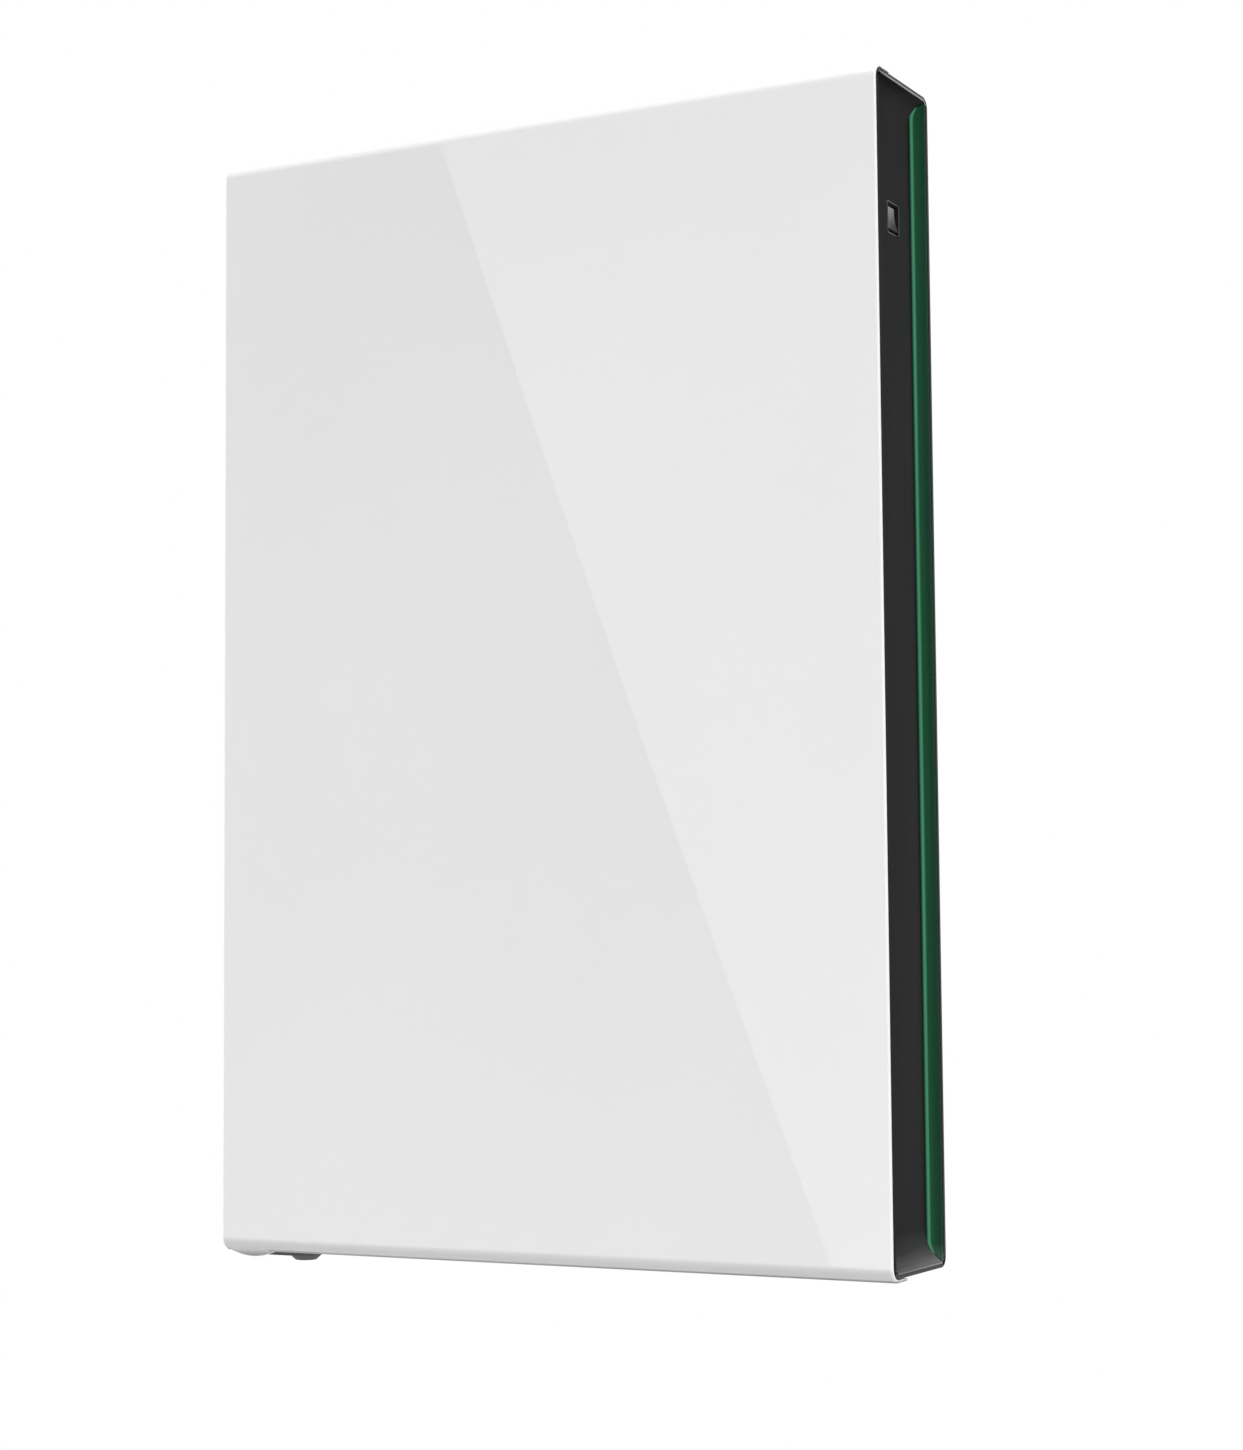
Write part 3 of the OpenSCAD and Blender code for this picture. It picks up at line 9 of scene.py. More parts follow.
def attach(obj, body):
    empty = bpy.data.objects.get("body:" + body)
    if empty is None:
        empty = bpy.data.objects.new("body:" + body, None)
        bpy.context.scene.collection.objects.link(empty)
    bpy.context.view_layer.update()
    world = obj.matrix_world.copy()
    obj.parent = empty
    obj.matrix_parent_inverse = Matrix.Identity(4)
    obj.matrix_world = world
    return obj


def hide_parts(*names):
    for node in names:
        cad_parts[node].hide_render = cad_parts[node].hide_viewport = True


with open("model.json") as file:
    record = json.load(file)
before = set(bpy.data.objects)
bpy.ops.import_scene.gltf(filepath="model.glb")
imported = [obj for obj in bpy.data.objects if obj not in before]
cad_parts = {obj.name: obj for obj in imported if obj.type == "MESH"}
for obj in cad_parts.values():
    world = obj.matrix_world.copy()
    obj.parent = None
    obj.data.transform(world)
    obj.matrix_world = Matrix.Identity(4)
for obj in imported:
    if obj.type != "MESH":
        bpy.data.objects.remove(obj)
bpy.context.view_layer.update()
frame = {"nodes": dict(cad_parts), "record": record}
nodes = frame["nodes"]

# Sizes are written in millimetres, and the shared frame is in metres
MM_PER_M = 1000

# Main sizes of the unit, as the CAD model has them
UNIT_W = 753
UNIT_H = 1150
UNIT_D = 147
BODY_D = 133
BOLT_H = 800
HALF_W = UNIT_W / 2
COVER_T = 3
COVER_ROLL = 15
COVER_RETURN = 36
COVER_EDGE = 2
LUG_AT = (-348, 20)
LUG_HALF = (26, 14)
LUG_DROP = 6.5
SHELL_INSET = 4
SHELL_R = 11
SHELL_FRONT = 8
RECESS_DEEP = 18
RECESS_X = HALF_W - RECESS_DEEP
SWITCH_AT = (84, 1017)
SWITCH_HALF = (13, 14.25)

# Most of a noise's values lie between these
NOISE_LOW = 0.3
NOISE_HIGH = 0.7


def at(x, y, z):
    """A point given in millimetres from the front face's lower middle, in the shared frame."""
    return Vector((x, y - UNIT_D, z - BOLT_H)) / MM_PER_M


# Material helpers, which also serve the world's nodes


def material(name, **sockets):
    """A new material whose Principled shader has these constant sockets."""
    made = bpy.data.materials.new(name)
    made.use_nodes = True
    for socket, value in sockets.items():
        label = socket.replace("_", " ").title().replace("Ior", "IOR")
        made.node_tree.nodes["Principled BSDF"].inputs[label].default_value = value
    return made


def add_node(made, kind, **inputs):
    """A new shader node with these input values or links."""
    node = made.node_tree.nodes.new(kind)
    for name, value in inputs.items():
        socket = node.inputs[name.replace("_", " ")]
        if isinstance(value, bpy.types.NodeSocket):
            made.node_tree.links.new(value, socket)
        else:
            socket.default_value = value
    return node


def shader_input(made, name, value):
    """Links a node's output to a socket of the Principled shader."""
    made.node_tree.links.new(value, made.node_tree.nodes["Principled BSDF"].inputs[name])


def place(made, stretch=(1, 1, 1), turn=(0, 0, 0)):
    """Object coordinates in metres, stretched and turned."""
    coordinates = add_node(made, "ShaderNodeTexCoord")
    mapping = add_node(made, "ShaderNodeMapping", Vector=coordinates.outputs["Object"])
    mapping.inputs["Scale"].default_value = stretch
    mapping.inputs["Rotation"].default_value = [math.radians(angle) for angle in turn]
    return mapping.outputs["Vector"]


def noise(made, scale, detail=3.0, stretch=(1, 1, 1), turn=(0, 0, 0)):
    """Noise between 0 and 1, with this many features a metre."""
    where = place(made, stretch, turn)
    return add_node(made, "ShaderNodeTexNoise", Vector=where, Scale=scale, Detail=detail).outputs["Fac"]


def part_along(made, vector, name):
    """The X, Y or Z part of a vector."""
    return add_node(made, "ShaderNodeSeparateXYZ", Vector=vector).outputs[name]


def axis(made, name):
    """One object coordinate, in metres."""
    return part_along(made, place(made), name)


def rise(made, value, start, end, low=0.0, high=1.0):
    """Goes from low to high while a value goes from start to end."""
    return add_node(
        made, "ShaderNodeMapRange", Value=value, From_Min=start, From_Max=end, To_Min=low, To_Max=high
    ).outputs["Result"]


def reckon(made, operation, *values):
    """A number worked out from other numbers."""
    node = add_node(made, "ShaderNodeMath")
    node.operation = operation
    for value, socket in zip(values, node.inputs):
        made.node_tree.links.new(value, socket)
    return node.outputs["Value"]


def scaled(made, colour, level):
    """A colour made lighter or darker by a level."""
    return add_node(made, "ShaderNodeHueSaturation", Color=colour, Value=level).outputs["Color"]


def spread_between(made, value, low, high):
    """Stretches the middle of a noise to a range of numbers."""
    return rise(made, value, NOISE_LOW, NOISE_HIGH, low, high)


def colour_ramp(made, value, stops):
    """A colour by a value between 0 and 1, from stops of position and colour."""
    ramp = add_node(made, "ShaderNodeValToRGB", Fac=value)
    while len(ramp.color_ramp.elements) < len(stops):
        ramp.color_ramp.elements.new(1.0)
    for element, (position, colour) in zip(ramp.color_ramp.elements, stops):
        element.position = position
        element.color = (*colour, 1)
    return ramp.outputs["Color"]


def mottled(made, value, first, second):
    """A colour between two, by a noise."""
    return colour_ramp(made, value, [(NOISE_LOW, first), (NOISE_HIGH, second)])


def vary_colour(made, value, first, second):
    """Mixes two base colours by a noise."""
    shader_input(made, "Base Color", mottled(made, value, first, second))


def vary_roughness(made, value, low, high):
    """Spreads the roughness between two numbers by a noise."""
    shader_input(made, "Roughness", spread_between(made, value, low, high))


def glow_across_rim(made, stops, unevenness):
    """Light by the place across the recess's rear rim, from stops of millimetres and colour."""
    across = rise(made, axis(made, "X"), RECESS_X / MM_PER_M, HALF_W / MM_PER_M)
    colour = colour_ramp(made, across, [((x - RECESS_X) / RECESS_DEEP, colour) for x, colour in stops])
    streaks = noise(made, 500, 2.0, stretch=(1, 1, 0.004))
    level = spread_between(made, streaks, 1 - unevenness, 1 + unevenness)
    shader_input(made, "Emission Color", scaled(made, colour, level))


def bump(made, value, height):
    """Raises the surface by a noise, with its height in metres."""
    node = add_node(made, "ShaderNodeBump", Height=value, Strength=1.0, Distance=height)
    shader_input(made, "Normal", node.outputs["Normal"])


def grey(level, warmth=0.0):
    """A grey that leans to red, or with a negative warmth to blue."""
    return (level * (1 + warmth), level, level * (1 - warmth))


# Materials of the outside


def cover_white(name, shaded_below, unshaded_above, shade_share):
    """A glossy white coat, whitened along the rounded side edges as a painted highlight, and greyed along
    its lowest few millimetres as painted shade.
    """
    highlight_gain = 1.17
    made = material(name, specular_ior_level=0.12, coat_weight=1.0, coat_roughness=0.015, coat_ior=1.6)
    plain = mottled(made, noise(made, 2.5), grey(0.80, 0.004), grey(0.82, 0.002))
    aside = reckon(made, "ABSOLUTE", axis(made, "X"))
    highlight_start = (HALF_W - COVER_EDGE) / MM_PER_M
    highlight_end = (HALF_W - COVER_EDGE / 2) / MM_PER_M
    # Painted highlight: the base colour is whiter on the rounded side edges, where light glints.
    edge = rise(made, aside, highlight_start, highlight_end, low=1.0, high=highlight_gain)
    shaded_z, unshaded_z = (at(0, 0, height).z for height in (shaded_below, unshaded_above))
    # Painted shade: the base colour greys below a height, where the rolled lower edge falls into shadow.
    painted_underside_shade = rise(made, axis(made, "Z"), shaded_z, unshaded_z, low=shade_share, high=1.0)
    shader_input(made, "Base Color", scaled(made, plain, reckon(made, "MULTIPLY", edge, painted_underside_shade)))
    vary_roughness(made, noise(made, 900), 0.32, 0.4)
    bump(made, noise(made, 160, 1.0), 0.000001)
    return made


def shell_charcoal():
    made = material("shell_charcoal", specular_ior_level=0.12)
    vary_colour(made, noise(made, 1400), grey(0.020), grey(0.032))
    vary_roughness(made, noise(made, 500), 0.34, 0.46)
    bump(made, noise(made, 1600, 2.0), 0.00003)
    return made


def panel_charcoal():
    """A matt, finely textured charcoal coat. Its base colour is painted lighter where it faces up and
    along its lowest millimetre, as painted light, and darker towards the cover, as painted shade.
    """
    foot_start, foot_end = (at(0, 0, height).z for height in (9, 10))
    front, back = (at(0, depth, 0).y for depth in (50, 120))
    made = material("panel_charcoal", specular_ior_level=0.01)
    # Painted light: the coat is paler where it faces up and below its foot height, standing in for light
    # that falls on the recess floor.
    upward = part_along(made, add_node(made, "ShaderNodeNewGeometry").outputs["Normal"], "Z")
    foot = rise(made, axis(made, "Z"), foot_start, foot_end, low=1.0, high=0.0)
    shade = colour_ramp(made, reckon(made, "MAXIMUM", upward, foot), [
        (0.0, grey(0.027)),
        (0.2, grey(0.034)),
        (0.45, grey(0.043)),
        (0.7, grey(0.080)),
        (0.88, grey(0.165)),
        (1.0, grey(0.260)),
    ])
    streaks = noise(made, 9, 2.0, stretch=(1, 2.4, 0.35), turn=(38, 0, 0))
    # Painted shade: darker towards the cover, where the cover's lip casts its shadow.
    painted_front_shade = rise(made, axis(made, "Y"), front, back, low=0.76, high=1.1)
    level = reckon(made, "MULTIPLY", painted_front_shade, spread_between(made, streaks, 0.92, 1.08))
    shader_input(made, "Base Color", scaled(made, shade, level))
    vary_roughness(made, noise(made, 700), 0.46, 0.56)
    bump(made, noise(made, 1500, 2.0), 0.00002)
    return made


def black_plastic():
    made = material("black_plastic", specular_ior_level=0.4)
    vary_colour(made, noise(made, 60), grey(0.010), grey(0.014))
    vary_roughness(made, noise(made, 800), 0.3, 0.42)
    bump(made, noise(made, 1800, 2.0), 0.000012)
    return made


def gloss_black():
    made = material("gloss_black", specular_ior_level=0.6)
    vary_colour(made, noise(made, 60), grey(0.006), grey(0.008))
    vary_roughness(made, noise(made, 900), 0.10, 0.16)
    return made


def rubber():
    made = material("rubber", specular_ior_level=0.25)
    vary_colour(made, noise(made, 300), grey(0.012), grey(0.020))
    vary_roughness(made, noise(made, 400), 0.65, 0.8)
    bump(made, noise(made, 900, 3.0), 0.00004)
    return made


def rocker_painted_highlight():
    """A satin plastic, painted paler towards the rocker's upper end as a painted highlight."""
    low, high = (at(0, 0, SWITCH_AT[1] + side * SWITCH_HALF[1]).z for side in (-1, 1))
    made = material("rocker_painted_highlight", specular_ior_level=0.4)
    # Painted highlight: the base colour pales towards the upper end, standing in for light reflected by
    # the rocker's face.
    shader_input(made, "Base Color", colour_ramp(made, rise(made, axis(made, "Z"), low, high), [
        (0.1, grey(0.03)),
        (0.35, grey(0.07)),
        (0.6, grey(0.20)),
        (0.9, grey(0.34)),
    ]))
    vary_roughness(made, noise(made, 700), 0.3, 0.4)
    bump(made, noise(made, 1500, 2.0), 0.00001)
    return made


def lit_guide():
    """A green light guide, brightest where it meets the lens."""
    made = material("lit_guide", specular_ior_level=0.3, emission_strength=1.0)
    vary_colour(made, noise(made, 30), (0.004, 0.014, 0.008), (0.006, 0.018, 0.010))
    vary_roughness(made, noise(made, 500), 0.25, 0.35)
    glow_across_rim(made, [
        (358.5, (0.001, 0.006, 0.003)),
        (359.7, (0.003, 0.018, 0.010)),
        (360.7, (0.030, 0.125, 0.070)),
        (361.6, (0.058, 0.215, 0.122)),
    ], 0.05)
    return made


def tinted_lens():
    """A dark green lens that fades outwards, with a foot painted paler as painted light."""
    foot_start, foot_end = (at(0, 0, height).z for height in (10, 26))
    made = material("tinted_lens", specular_ior_level=0.3, emission_strength=1.0)
    # Painted light: the base colour is paler towards the foot, standing in for light that falls into the
    # bottom of the recess.
    foot = rise(made, axis(made, "Z"), foot_start, foot_end)
    shader_input(made, "Base Color", colour_ramp(made, foot, [
        (0.0, (0.130, 0.165, 0.140)),
        (0.4, (0.070, 0.100, 0.080)),
        (1.0, (0.010, 0.031, 0.020)),
    ]))
    vary_roughness(made, noise(made, 700), 0.2, 0.3)
    glow_across_rim(made, [
        (362.7, (0.045, 0.165, 0.092)),
        (363.6, (0.018, 0.098, 0.050)),
        (364.8, (0.006, 0.055, 0.022)),
        (368.0, (0.008, 0.045, 0.020)),
        (371.0, (0.005, 0.034, 0.015)),
        (375.5, (0.008, 0.030, 0.017)),
    ], 0.2)
    return made


# Materials of the metal and inner pieces


def metal(name, first, second, roughness, grain=(1, 1, 40)):
    """A bare metal with a fine grain along one axis."""
    spread = 0.07
    made = material(name, metallic=1.0)
    lines = noise(made, 60, 3.0, stretch=grain)
    vary_colour(made, noise(made, 12), first, second)
    vary_roughness(made, lines, roughness - spread, roughness + spread)
    bump(made, lines, 0.000008)
    return made


def steel():
    """Zinc-coated steel, with the coat's crystals showing."""
    made = material("steel", metallic=1.0)
    spangle = add_node(made, "ShaderNodeTexVoronoi", Vector=place(made), Scale=140.0).outputs["Color"]
    shade = add_node(made, "ShaderNodeSeparateColor", Color=spangle).outputs["Red"]
    vary_colour(made, shade, grey(0.48, -0.01), grey(0.54, -0.015))
    vary_roughness(made, shade, 0.38, 0.46)
    bump(made, noise(made, 500), 0.00001)
    return made


def aluminium():
    return metal("aluminium", grey(0.66, -0.01), grey(0.72, -0.01), 0.42)


def copper():
    return metal("copper", (0.70, 0.33, 0.18), (0.78, 0.40, 0.24), 0.34)


def brass():
    return metal("brass", (0.66, 0.50, 0.22), (0.74, 0.58, 0.28), 0.32, grain=(40, 1, 1))


def cell_steel():
    return metal("cell_steel", grey(0.50, -0.01), grey(0.60, -0.01), 0.3, grain=(1, 40, 1))


def board_green():
    """A lacquered circuit board with a fine net of tracks."""
    made = material("board_green", specular_ior_level=0.5)
    brick = add_node(
        made, "ShaderNodeTexBrick", Vector=place(made, turn=(90, 0, 0)), Scale=60.0, Mortar_Size=0.06,
        Color1=(0.012, 0.085, 0.030, 1), Color2=(0.016, 0.105, 0.038, 1), Mortar=(0.035, 0.19, 0.075, 1),
    )
    shader_input(made, "Base Color", brick.outputs["Color"])
    vary_roughness(made, noise(made, 300), 0.28, 0.4)
    bump(made, brick.outputs["Fac"], 0.00003)
    return made


def plastic(name, first, second, roughness):
    """A plain moulded plastic with a fine texture."""
    spread = 0.06
    made = material(name, specular_ior_level=0.4)
    vary_colour(made, noise(made, 40), first, second)
    vary_roughness(made, noise(made, 700), roughness - spread, roughness + spread)
    bump(made, noise(made, 1500, 2.0), 0.000015)
    return made


def winding():
    """Lacquered copper wire, wound turn beside turn."""
    made = material("winding", metallic=1.0)
    turns = add_node(made, "ShaderNodeTexWave", Vector=place(made), Scale=260.0, Distortion=1.5)
    vary_colour(made, turns.outputs["Fac"], (0.32, 0.11, 0.04), (0.62, 0.27, 0.12))
    vary_roughness(made, turns.outputs["Fac"], 0.25, 0.4)
    bump(made, turns.outputs["Fac"], 0.0004)
    return made


# The finish of each material slot
materials = {
    # The cover's painted shade greys its lowest 1.8 to 3.2 millimetres.
    "cover_white": cover_white("cover_white", shaded_below=1.8, unshaded_above=3.2, shade_share=0.35),
    "clip_white": plastic("clip_white", grey(0.76), grey(0.80), 0.45),
    "shell_charcoal": shell_charcoal(),
    "panel_charcoal": panel_charcoal(),
    "black_plastic": black_plastic(),
    "gloss_black": gloss_black(),
    "steel": steel(),
    "aluminium": aluminium(),
    "copper": copper(),
    "brass": brass(),
    "board_green": board_green(),
    "lit_guide": lit_guide(),
    "tinted_lens": tinted_lens(),
    "rubber": rubber(),
    "cell_steel": cell_steel(),
    "tray_plastic": plastic("tray_plastic", grey(0.66), grey(0.72), 0.5),
    "insulator_red": plastic("insulator_red", (0.42, 0.06, 0.03), (0.48, 0.08, 0.04), 0.4),
    "capacitor_blue": plastic("capacitor_blue", (0.02, 0.03, 0.10), (0.03, 0.045, 0.14), 0.3),
    "winding": winding(),
    "tank_milky": plastic("tank_milky", grey(0.68, 0.02), grey(0.74, 0.02), 0.4),
    "terminal_grey": plastic("terminal_grey", grey(0.28), grey(0.32), 0.45),
}

# Nodes whose finish differs from the rest of their slot
own_finish = {
    "conduit_hub": plastic("hub_grey", grey(0.10), grey(0.12), 0.5),
    "switch_rocker": rocker_painted_highlight(),
}

for subpart in frame["record"]["subparts"]:
    mesh = nodes[subpart["node"]].data
    mesh.materials.clear()
    mesh.materials.append(own_finish.get(subpart["node"], materials[subpart["material_slot"]]))


# Edges of the CAD nodes are softened by modifiers alone

WELD_WITHIN = 0.000002
FLAT_WITHIN = math.radians(0.5)
ROUND_ABOVE = math.radians(35)


def soften(node, width, segments=3):
    """Rounds a CAD node's sharp edges by a width in millimetres, once its flat faces are joined."""
    weld = nodes[node].modifiers.new("weld", "WELD")
    weld.merge_threshold = WELD_WITHIN
    flats = nodes[node].modifiers.new("flats", "DECIMATE")
    flats.decimate_type = "DISSOLVE"
    flats.angle_limit = FLAT_WITHIN
    edge = nodes[node].modifiers.new("edge", "BEVEL")
    edge.width = width / MM_PER_M
    edge.segments = segments
    edge.limit_method = "ANGLE"
    edge.angle_limit = ROUND_ABOVE
    edge.harden_normals = True


SOFT_EDGES = {
    "rear_shell": 0.35,
    "right_side_panel": 0.5,
    "left_vent_panel": 0.5,
    "wiring_cover": 0.5,
    "switch_rocker": 0.7,
    "wall_bracket": 0.5,
    "hanger_rail": 0.5,
    "lock_blocks": 0.8,
    "wall_pads": 2.0,
    "inner_lid": 0.3,
    "conduit_hub": 0.8,
}
for softened, softening in SOFT_EDGES.items():
    soften(softened, softening)


# New pieces

CREASE_ABOVE = math.radians(40)


def piece(name, points, faces, body, slot, finish=None):
    """A new smooth-shaded mesh piece that rides on a body."""
    mesh = bpy.data.meshes.new(name)
    mesh.from_pydata(points, [], faces)
    mesh.validate()
    mesh.shade_smooth()
    mesh.set_sharp_from_angle(angle=CREASE_ABOVE)
    mesh.materials.append(finish or materials[slot])
    made = bpy.data.objects.new(name, mesh)
    bpy.context.collection.objects.link(made)
    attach(made, body)
    return made


def grid_faces(rows, columns, first=0):
    """Quads between neighbouring points of a grid that starts at this point."""
    faces = []
    for row in range(rows - 1):
        for column in range(columns - 1):
            here = first + row * columns + column
            there = here + columns
            faces.append((here, here + 1, there + 1, there))
    return faces


def closed_pair(rows, columns):
    """Faces that close an outer and an inner grid of points, one after the other, into one solid."""
    count = rows * columns
    faces = grid_faces(rows, columns)
    faces += [face[::-1] for face in grid_faces(rows, columns, count)]
    border = list(range(columns))
    border += [row * columns + columns - 1 for row in range(1, rows)]
    border += [(rows - 1) * columns + column for column in range(columns - 2, -1, -1)]
    border += [row * columns for row in range(rows - 2, 0, -1)]
    for here, there in zip(border, border[1:] + border[:1]):
        faces.append((there, here, here + count, there + count))
    return faces


def rolled_path(inset, steps=18):
    """Points (y, z) along the cover from its top return, round the front, to its bottom return."""
    radius = COVER_ROLL - inset
    path = [(COVER_RETURN, UNIT_H - inset)]
    for corner_z, start in ((UNIT_H - COVER_ROLL, 90), (COVER_ROLL, 180)):
        for step in range(steps + 1):
            angle = math.radians(start + 90 * step / steps)
            path.append((COVER_ROLL + radius * math.cos(angle), corner_z + radius * math.sin(angle)))
    path.append((COVER_RETURN, inset))
    return path


def cover_columns(steps=6, middle=24):
    """Places across the cover, with how far its outer face is drawn in at each by the edge rounding."""
    columns = []
    for step in range(steps + 1):
        angle = math.radians(90 * (1 - step / steps))
        columns.append((COVER_EDGE * (1 - math.sin(angle)) - HALF_W, COVER_EDGE * (1 - math.cos(angle))))
    inner = HALF_W - COVER_EDGE
    columns += [(inner * (2 * step / middle - 1), 0.0) for step in range(1, middle)]
    columns += [(-x, inset) for x, inset in reversed(columns[: steps + 1])]
    return columns


def cover_sheet():
    """The cover as one closed sheet: an outer skin, an inner skin and the edges between them."""
    columns = cover_columns()
    inner_path = rolled_path(COVER_T)
    outer = []
    inner = []
    for x, inset in columns:
        outer += [at(x, y, z) for y, z in rolled_path(inset)]
        inner += [at(x, y, z) for y, z in inner_path]
    faces = closed_pair(len(columns), len(inner_path))
    made = piece("cover_sheet", outer + inner, faces, "cover", "cover_white")
    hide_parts("front_cover")


def finger_lug(steps=28):
    """The lug that the cover is pulled off by: a shallow bowl that grows out of the lower roll."""
    rim_in = COVER_T / 6
    root_in = COVER_T / 2
    blunt = 0.6
    bowl = []
    root = []
    for row in range(steps + 1):
        u = 2 * row / steps - 1
        for column in range(steps + 1):
            v = 2 * column / steps - 1
            x = LUG_AT[0] + LUG_HALF[0] * u
            y = LUG_AT[1] + LUG_HALF[1] * v
            roll_z = COVER_ROLL - math.sqrt(COVER_ROLL**2 - max(COVER_ROLL - y, 0) ** 2)
            depth = (roll_z + LUG_DROP) * (1 - u * u) * (1 - v * v) ** blunt
            bowl.append(at(x, y, roll_z + rim_in - depth))
            root.append(at(x, y, roll_z + root_in))
    # Painted shade: the lug's bowl greys towards its lowest point, where shadow falls under it.
    finish = cover_white("lug_white", shaded_below=-4.5, unshaded_above=2.5, shade_share=0.3)
    piece("finger_lug", bowl + root, closed_pair(steps + 1, steps + 1), "cover", "cover_white", finish)


def bead(name, path, half_width, height, x, slot, closed=False, steps=8):
    """A half-round bead along a path (y, z) on a plane across X. An open one thins out at its ends."""
    tip = 0.01
    taper_points = 6
    sunk = 0.2
    points = []
    count = len(path)
    for index, (y, z) in enumerate(path):
        before = path[index - 1] if closed or index > 0 else path[index]
        after = path[(index + 1) % count] if closed or index < count - 1 else path[index]
        along = Vector((after[0] - before[0], after[1] - before[1])).normalized()
        from_end = min(index, count - 1 - index)
        thin = 1.0 if closed else math.sqrt(min(1.0, tip + from_end / taper_points))
        for step in range(steps + 1):
            angle = math.pi * step / steps
            aside = half_width * thin * math.cos(angle)
            lift = height * (thin * math.sin(angle) - sunk)
            points.append(at(x + math.copysign(lift, lift * x), y - along.y * aside, z + along.x * aside))
    faces = grid_faces(count, steps + 1)
    if closed:
        last = (count - 1) * (steps + 1)
        faces += [(last + step, last + step + 1, step + 1, step) for step in range(steps)]
    if x < 0:
        faces = [face[::-1] for face in faces]
    return piece(name, points, faces, "unit", slot)


def arc(centre, radius, start, end, steps):
    """Points (y, z) on an arc between two angles in degrees."""
    turn = [math.radians(start + (end - start) * step / steps) for step in range(steps + 1)]
    return [(centre[0] + radius * math.cos(angle), centre[1] + radius * math.sin(angle)) for angle in turn]


def rim_highlight_bead():
    """A thin grey bead along each end of the shell's top rim, round to its rear corner: a painted
    highlight of the rim's edge.
    """
    inset = 3.5
    half_width = 0.9
    height = 0.5
    setback = 3
    straight_steps = 40
    arc_end = 25
    arc_steps = 16
    front = SHELL_FRONT + setback
    corner = (BODY_D - SHELL_R, UNIT_H - SHELL_INSET - SHELL_R)
    path = [
        (front + (corner[0] - front) * step / straight_steps, corner[1] + SHELL_R - inset)
        for step in range(straight_steps)
    ]
    path += arc(corner, SHELL_R - inset, 90, arc_end, arc_steps)
    for side, x in (("right", HALF_W), ("left", -HALF_W)):
        # Painted highlight: the grey bead stands in for light caught along the rim's edge.
        bead("rim_highlight_bead_" + side, path, half_width, height, x, "terminal_grey")


def switch_bezel():
    """A raised bead around the rocker's opening."""
    corner = 2.5
    margin = 1.2
    half_width = 1.1
    height = 0.9
    arc_steps = 8
    y, z = SWITCH_AT
    half_y = SWITCH_HALF[0] + margin
    half_z = SWITCH_HALF[1] + margin
    path = []
    for turn, (u, v) in enumerate([(1, 1), (-1, 1), (-1, -1), (1, -1)]):
        centre = (y + u * (half_y - corner), z + v * (half_z - corner))
        path += arc(centre, corner, 90 * turn, 90 * turn + 90, arc_steps)
    bead("switch_bezel", path, half_width, height, RECESS_X, "gloss_black", closed=True)


cover_sheet()
finger_lug()
rim_highlight_bead()
switch_bezel()


# Stage: a pale floor well below the unit, a white world, and soft lamps

FLOOR_Z = -1.5
FLOOR_HALF = 2.0
FLOOR_SEEN = 0.85
FLOOR_BOUNCE = 0.36


def floor():
    """A floor that the camera sees pale, and that throws less light back up."""
    mesh = bpy.data.meshes.new("floor")
    corners = [(-1, -1), (1, -1), (1, 1), (-1, 1)]
    mesh.from_pydata([(FLOOR_HALF * x, FLOOR_HALF * y, FLOOR_Z) for x, y in corners], [], [(0, 1, 2, 3)])
    made = material("floor", specular_ior_level=0.2)
    seen = add_node(made, "ShaderNodeLightPath").outputs["Is Camera Ray"]
    stops = [(0.0, grey(FLOOR_BOUNCE)), (1.0, grey(FLOOR_SEEN))]
    shader_input(made, "Base Color", colour_ramp(made, seen, stops))
    vary_roughness(made, noise(made, 40), 0.75, 0.85)
    mesh.materials.append(made)
    sheet = bpy.data.objects.new("floor", mesh)
    bpy.context.collection.objects.link(sheet)


def white_world(below, above):
    """White where the camera, gloss or glass sees it. Elsewhere its light rises from below to above."""
    world = bpy.data.worlds.new("studio")
    world.use_nodes = True
    upward = part_along(world, add_node(world, "ShaderNodeTexCoord").outputs["Generated"], "Z")
    level = rise(world, upward, -1.0, 1.0, below, above)
    rays = add_node(world, "ShaderNodeLightPath").outputs
    seen = rays["Is Camera Ray"]
    for name in ("Is Glossy Ray", "Is Transmission Ray"):
        seen = reckon(world, "MAXIMUM", seen, rays[name])
    strength = rise(world, seen, 0.0, 1.0, low=level, high=1.0)
    background = world.node_tree.nodes["Background"]
    background.inputs["Color"].default_value = (1, 1, 1, 1)
    world.node_tree.links.new(strength, background.inputs["Strength"])
    bpy.context.scene.world = world


def softbox(name, centre, facing, size, radiance, upright=(0, 0, 1), mirrored=False):
    """A rectangular soft lamp that the camera doesn't see, nor gloss unless it is mirrored."""
    width, height = size
    light = bpy.data.lights.new(name, "AREA")
    light.shape = "RECTANGLE"
    light.size = width
    light.size_y = height
    light.energy = math.pi * width * height * radiance
    lamp = bpy.data.objects.new(name, light)
    back = -Vector(facing).normalized()
    side = Vector(upright).cross(back).normalized()
    up = back.cross(side)
    turn = Matrix((side, up, back)).transposed().to_4x4()
    lamp.matrix_world = Matrix.Translation(centre) @ turn
    lamp.visible_camera = False
    lamp.visible_glossy = mirrored
    bpy.context.collection.objects.link(lamp)


# The key lamp's slanting left edge is mirrored in the glossy front as a straight diagonal line
KEY_LOWER = Vector((-0.671, -2.2, -0.921))
KEY_UPPER = Vector((-1.347, -2.2, 1.008))
KEY_WIDTH = 1.5
KEY_LENGTH = 3.2
KEY_DROP = 0.25


def key_lamp(radiance):
    along = (KEY_UPPER - KEY_LOWER).normalized()
    across = Vector((along.z, 0, -along.x))
    middle = (KEY_UPPER + KEY_LOWER) / 2 - along * KEY_DROP + across * KEY_WIDTH / 2
    softbox("key_lamp", middle, (0, 1, 0), (KEY_WIDTH, KEY_LENGTH), radiance, upright=along, mirrored=True)


SKY_SPREAD = math.radians(40)
SKY_TILT = math.radians(19)


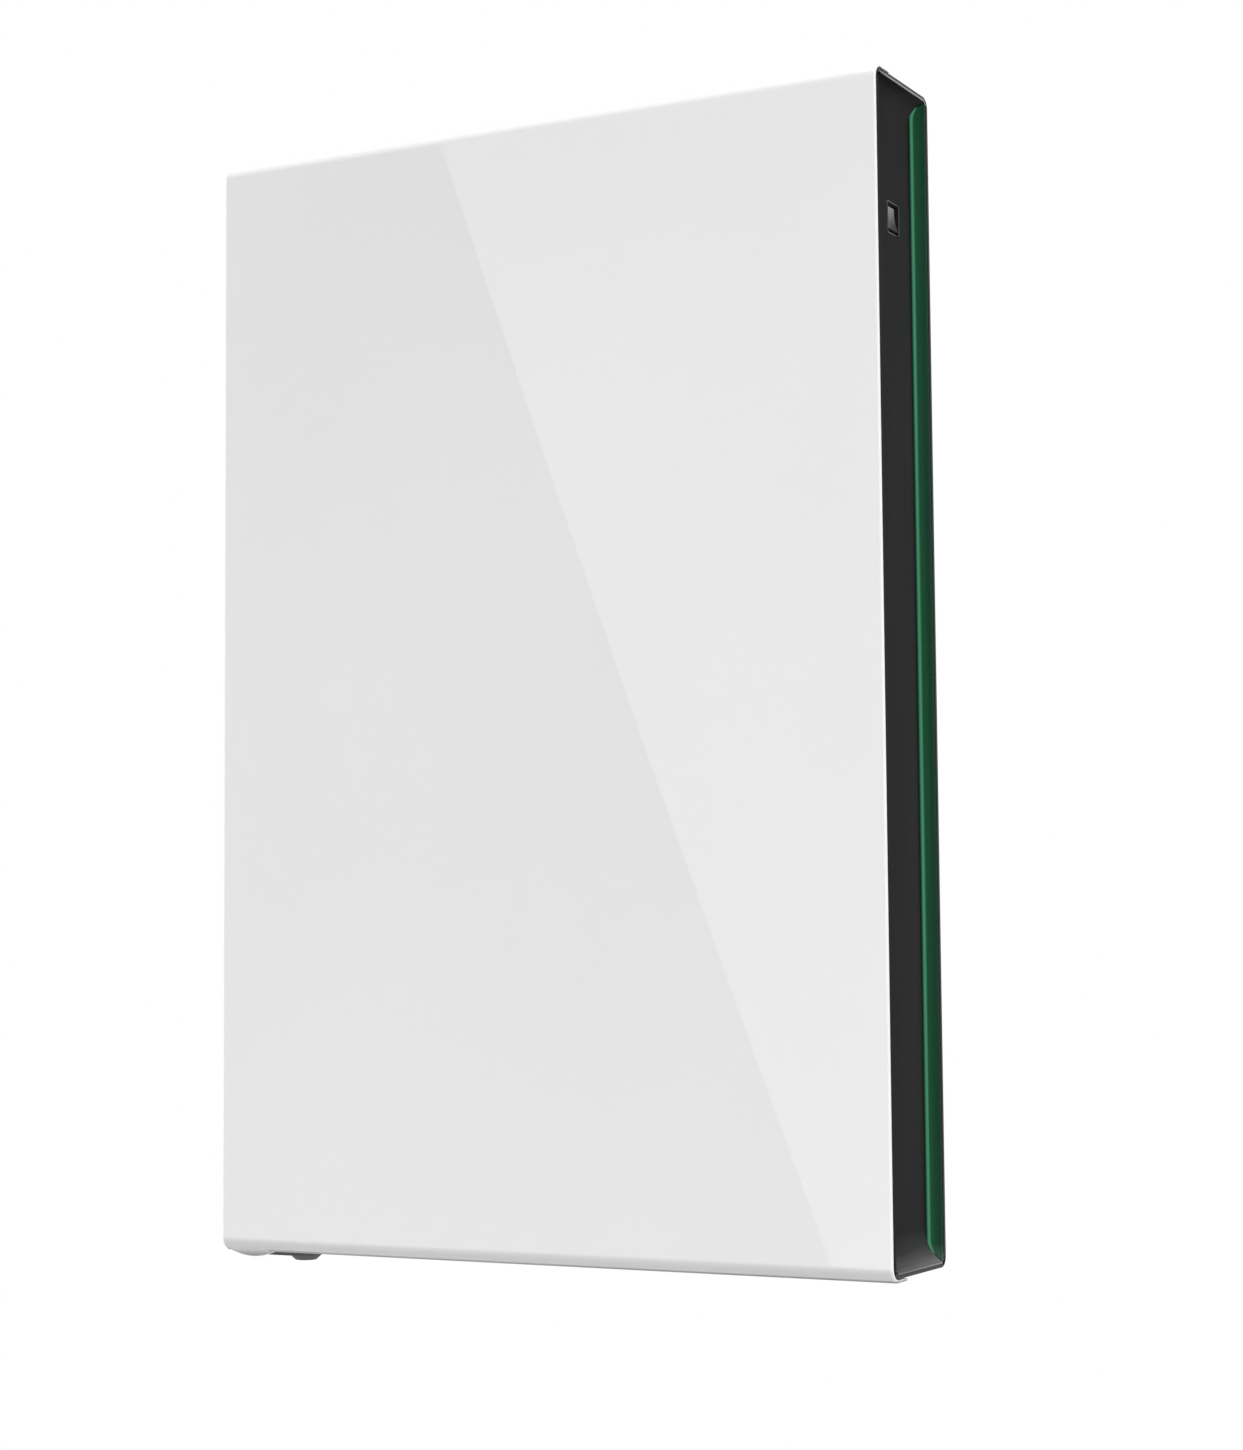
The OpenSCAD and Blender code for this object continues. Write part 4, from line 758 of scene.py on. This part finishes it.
def sky_lamp(level):
    """A broad distant lamp from above the front, which is even all over the unit."""
    light = bpy.data.lights.new("sky_lamp", "SUN")
    light.angle = SKY_SPREAD
    light.energy = math.pi * level
    lamp = bpy.data.objects.new("sky_lamp", light)
    lamp.rotation_euler = (SKY_TILT, 0, 0)
    bpy.context.collection.objects.link(lamp)


def side_lamps(name, side, front_radiance, rear_radiance):
    """A lamp ahead of one side and a lamp behind it, both turned towards the unit."""
    away = 2.2
    ahead = -0.6
    behind = 0.5
    height = 0.1
    turn = 0.25
    dip = -0.1
    size = (1.2, 2.4)
    softbox(name, (away * side, ahead, height), (-side, turn, dip), size, front_radiance)
    softbox("rear_" + name, (away * side, behind, height), (-side, -turn, dip), size, rear_radiance)


floor()
white_world(below=0.0, above=0.10)
key_lamp(radiance=0.95)
sky_lamp(level=1.06)
softbox("low_lamp", centre=(0.0, -2.4, -1.6), facing=(0, 0.95, 0.3), size=(3.0, 0.7), radiance=1.2)
softbox(
    "foot_lamp", centre=(0.0, -0.45, -1.4), facing=(0, 0.46, 0.89), size=(1.6, 0.2), radiance=0.85,
    upright=(0, 1, 0),
)
softbox("back_lamp", centre=(0.0, 2.2, 0.3), facing=(0, -1, -0.15), size=(3.6, 3.0), radiance=0.6)
side_lamps("right_lamp", 1, front_radiance=2.1, rear_radiance=1.6)
side_lamps("left_lamp", -1, front_radiance=1.9, rear_radiance=1.6)

# Camera, fitted to the photograph

CAMERA_AT = (1.4127, -2.6195, -0.4904)
CAMERA_YAW = 27.981
CAMERA_PITCH = 4.466
CAMERA_ROLL = -0.446
CAMERA_LENS = 71.306
CAMERA_SENSOR = 36


def camera():
    made = bpy.data.cameras.new("camera")
    made.lens = CAMERA_LENS
    made.sensor_width = CAMERA_SENSOR
    holder = bpy.data.objects.new("camera", made)
    turn = (
        Matrix.Rotation(math.radians(CAMERA_YAW), 3, "Z")
        @ Matrix.Rotation(math.radians(90 + CAMERA_PITCH), 3, "X")
        @ Matrix.Rotation(math.radians(CAMERA_ROLL), 3, "Z")
    )
    holder.matrix_world = Matrix.Translation(CAMERA_AT) @ turn.to_4x4()
    bpy.context.collection.objects.link(holder)
    bpy.context.scene.camera = holder


camera()
bpy.context.scene.view_settings.view_transform = "Standard"
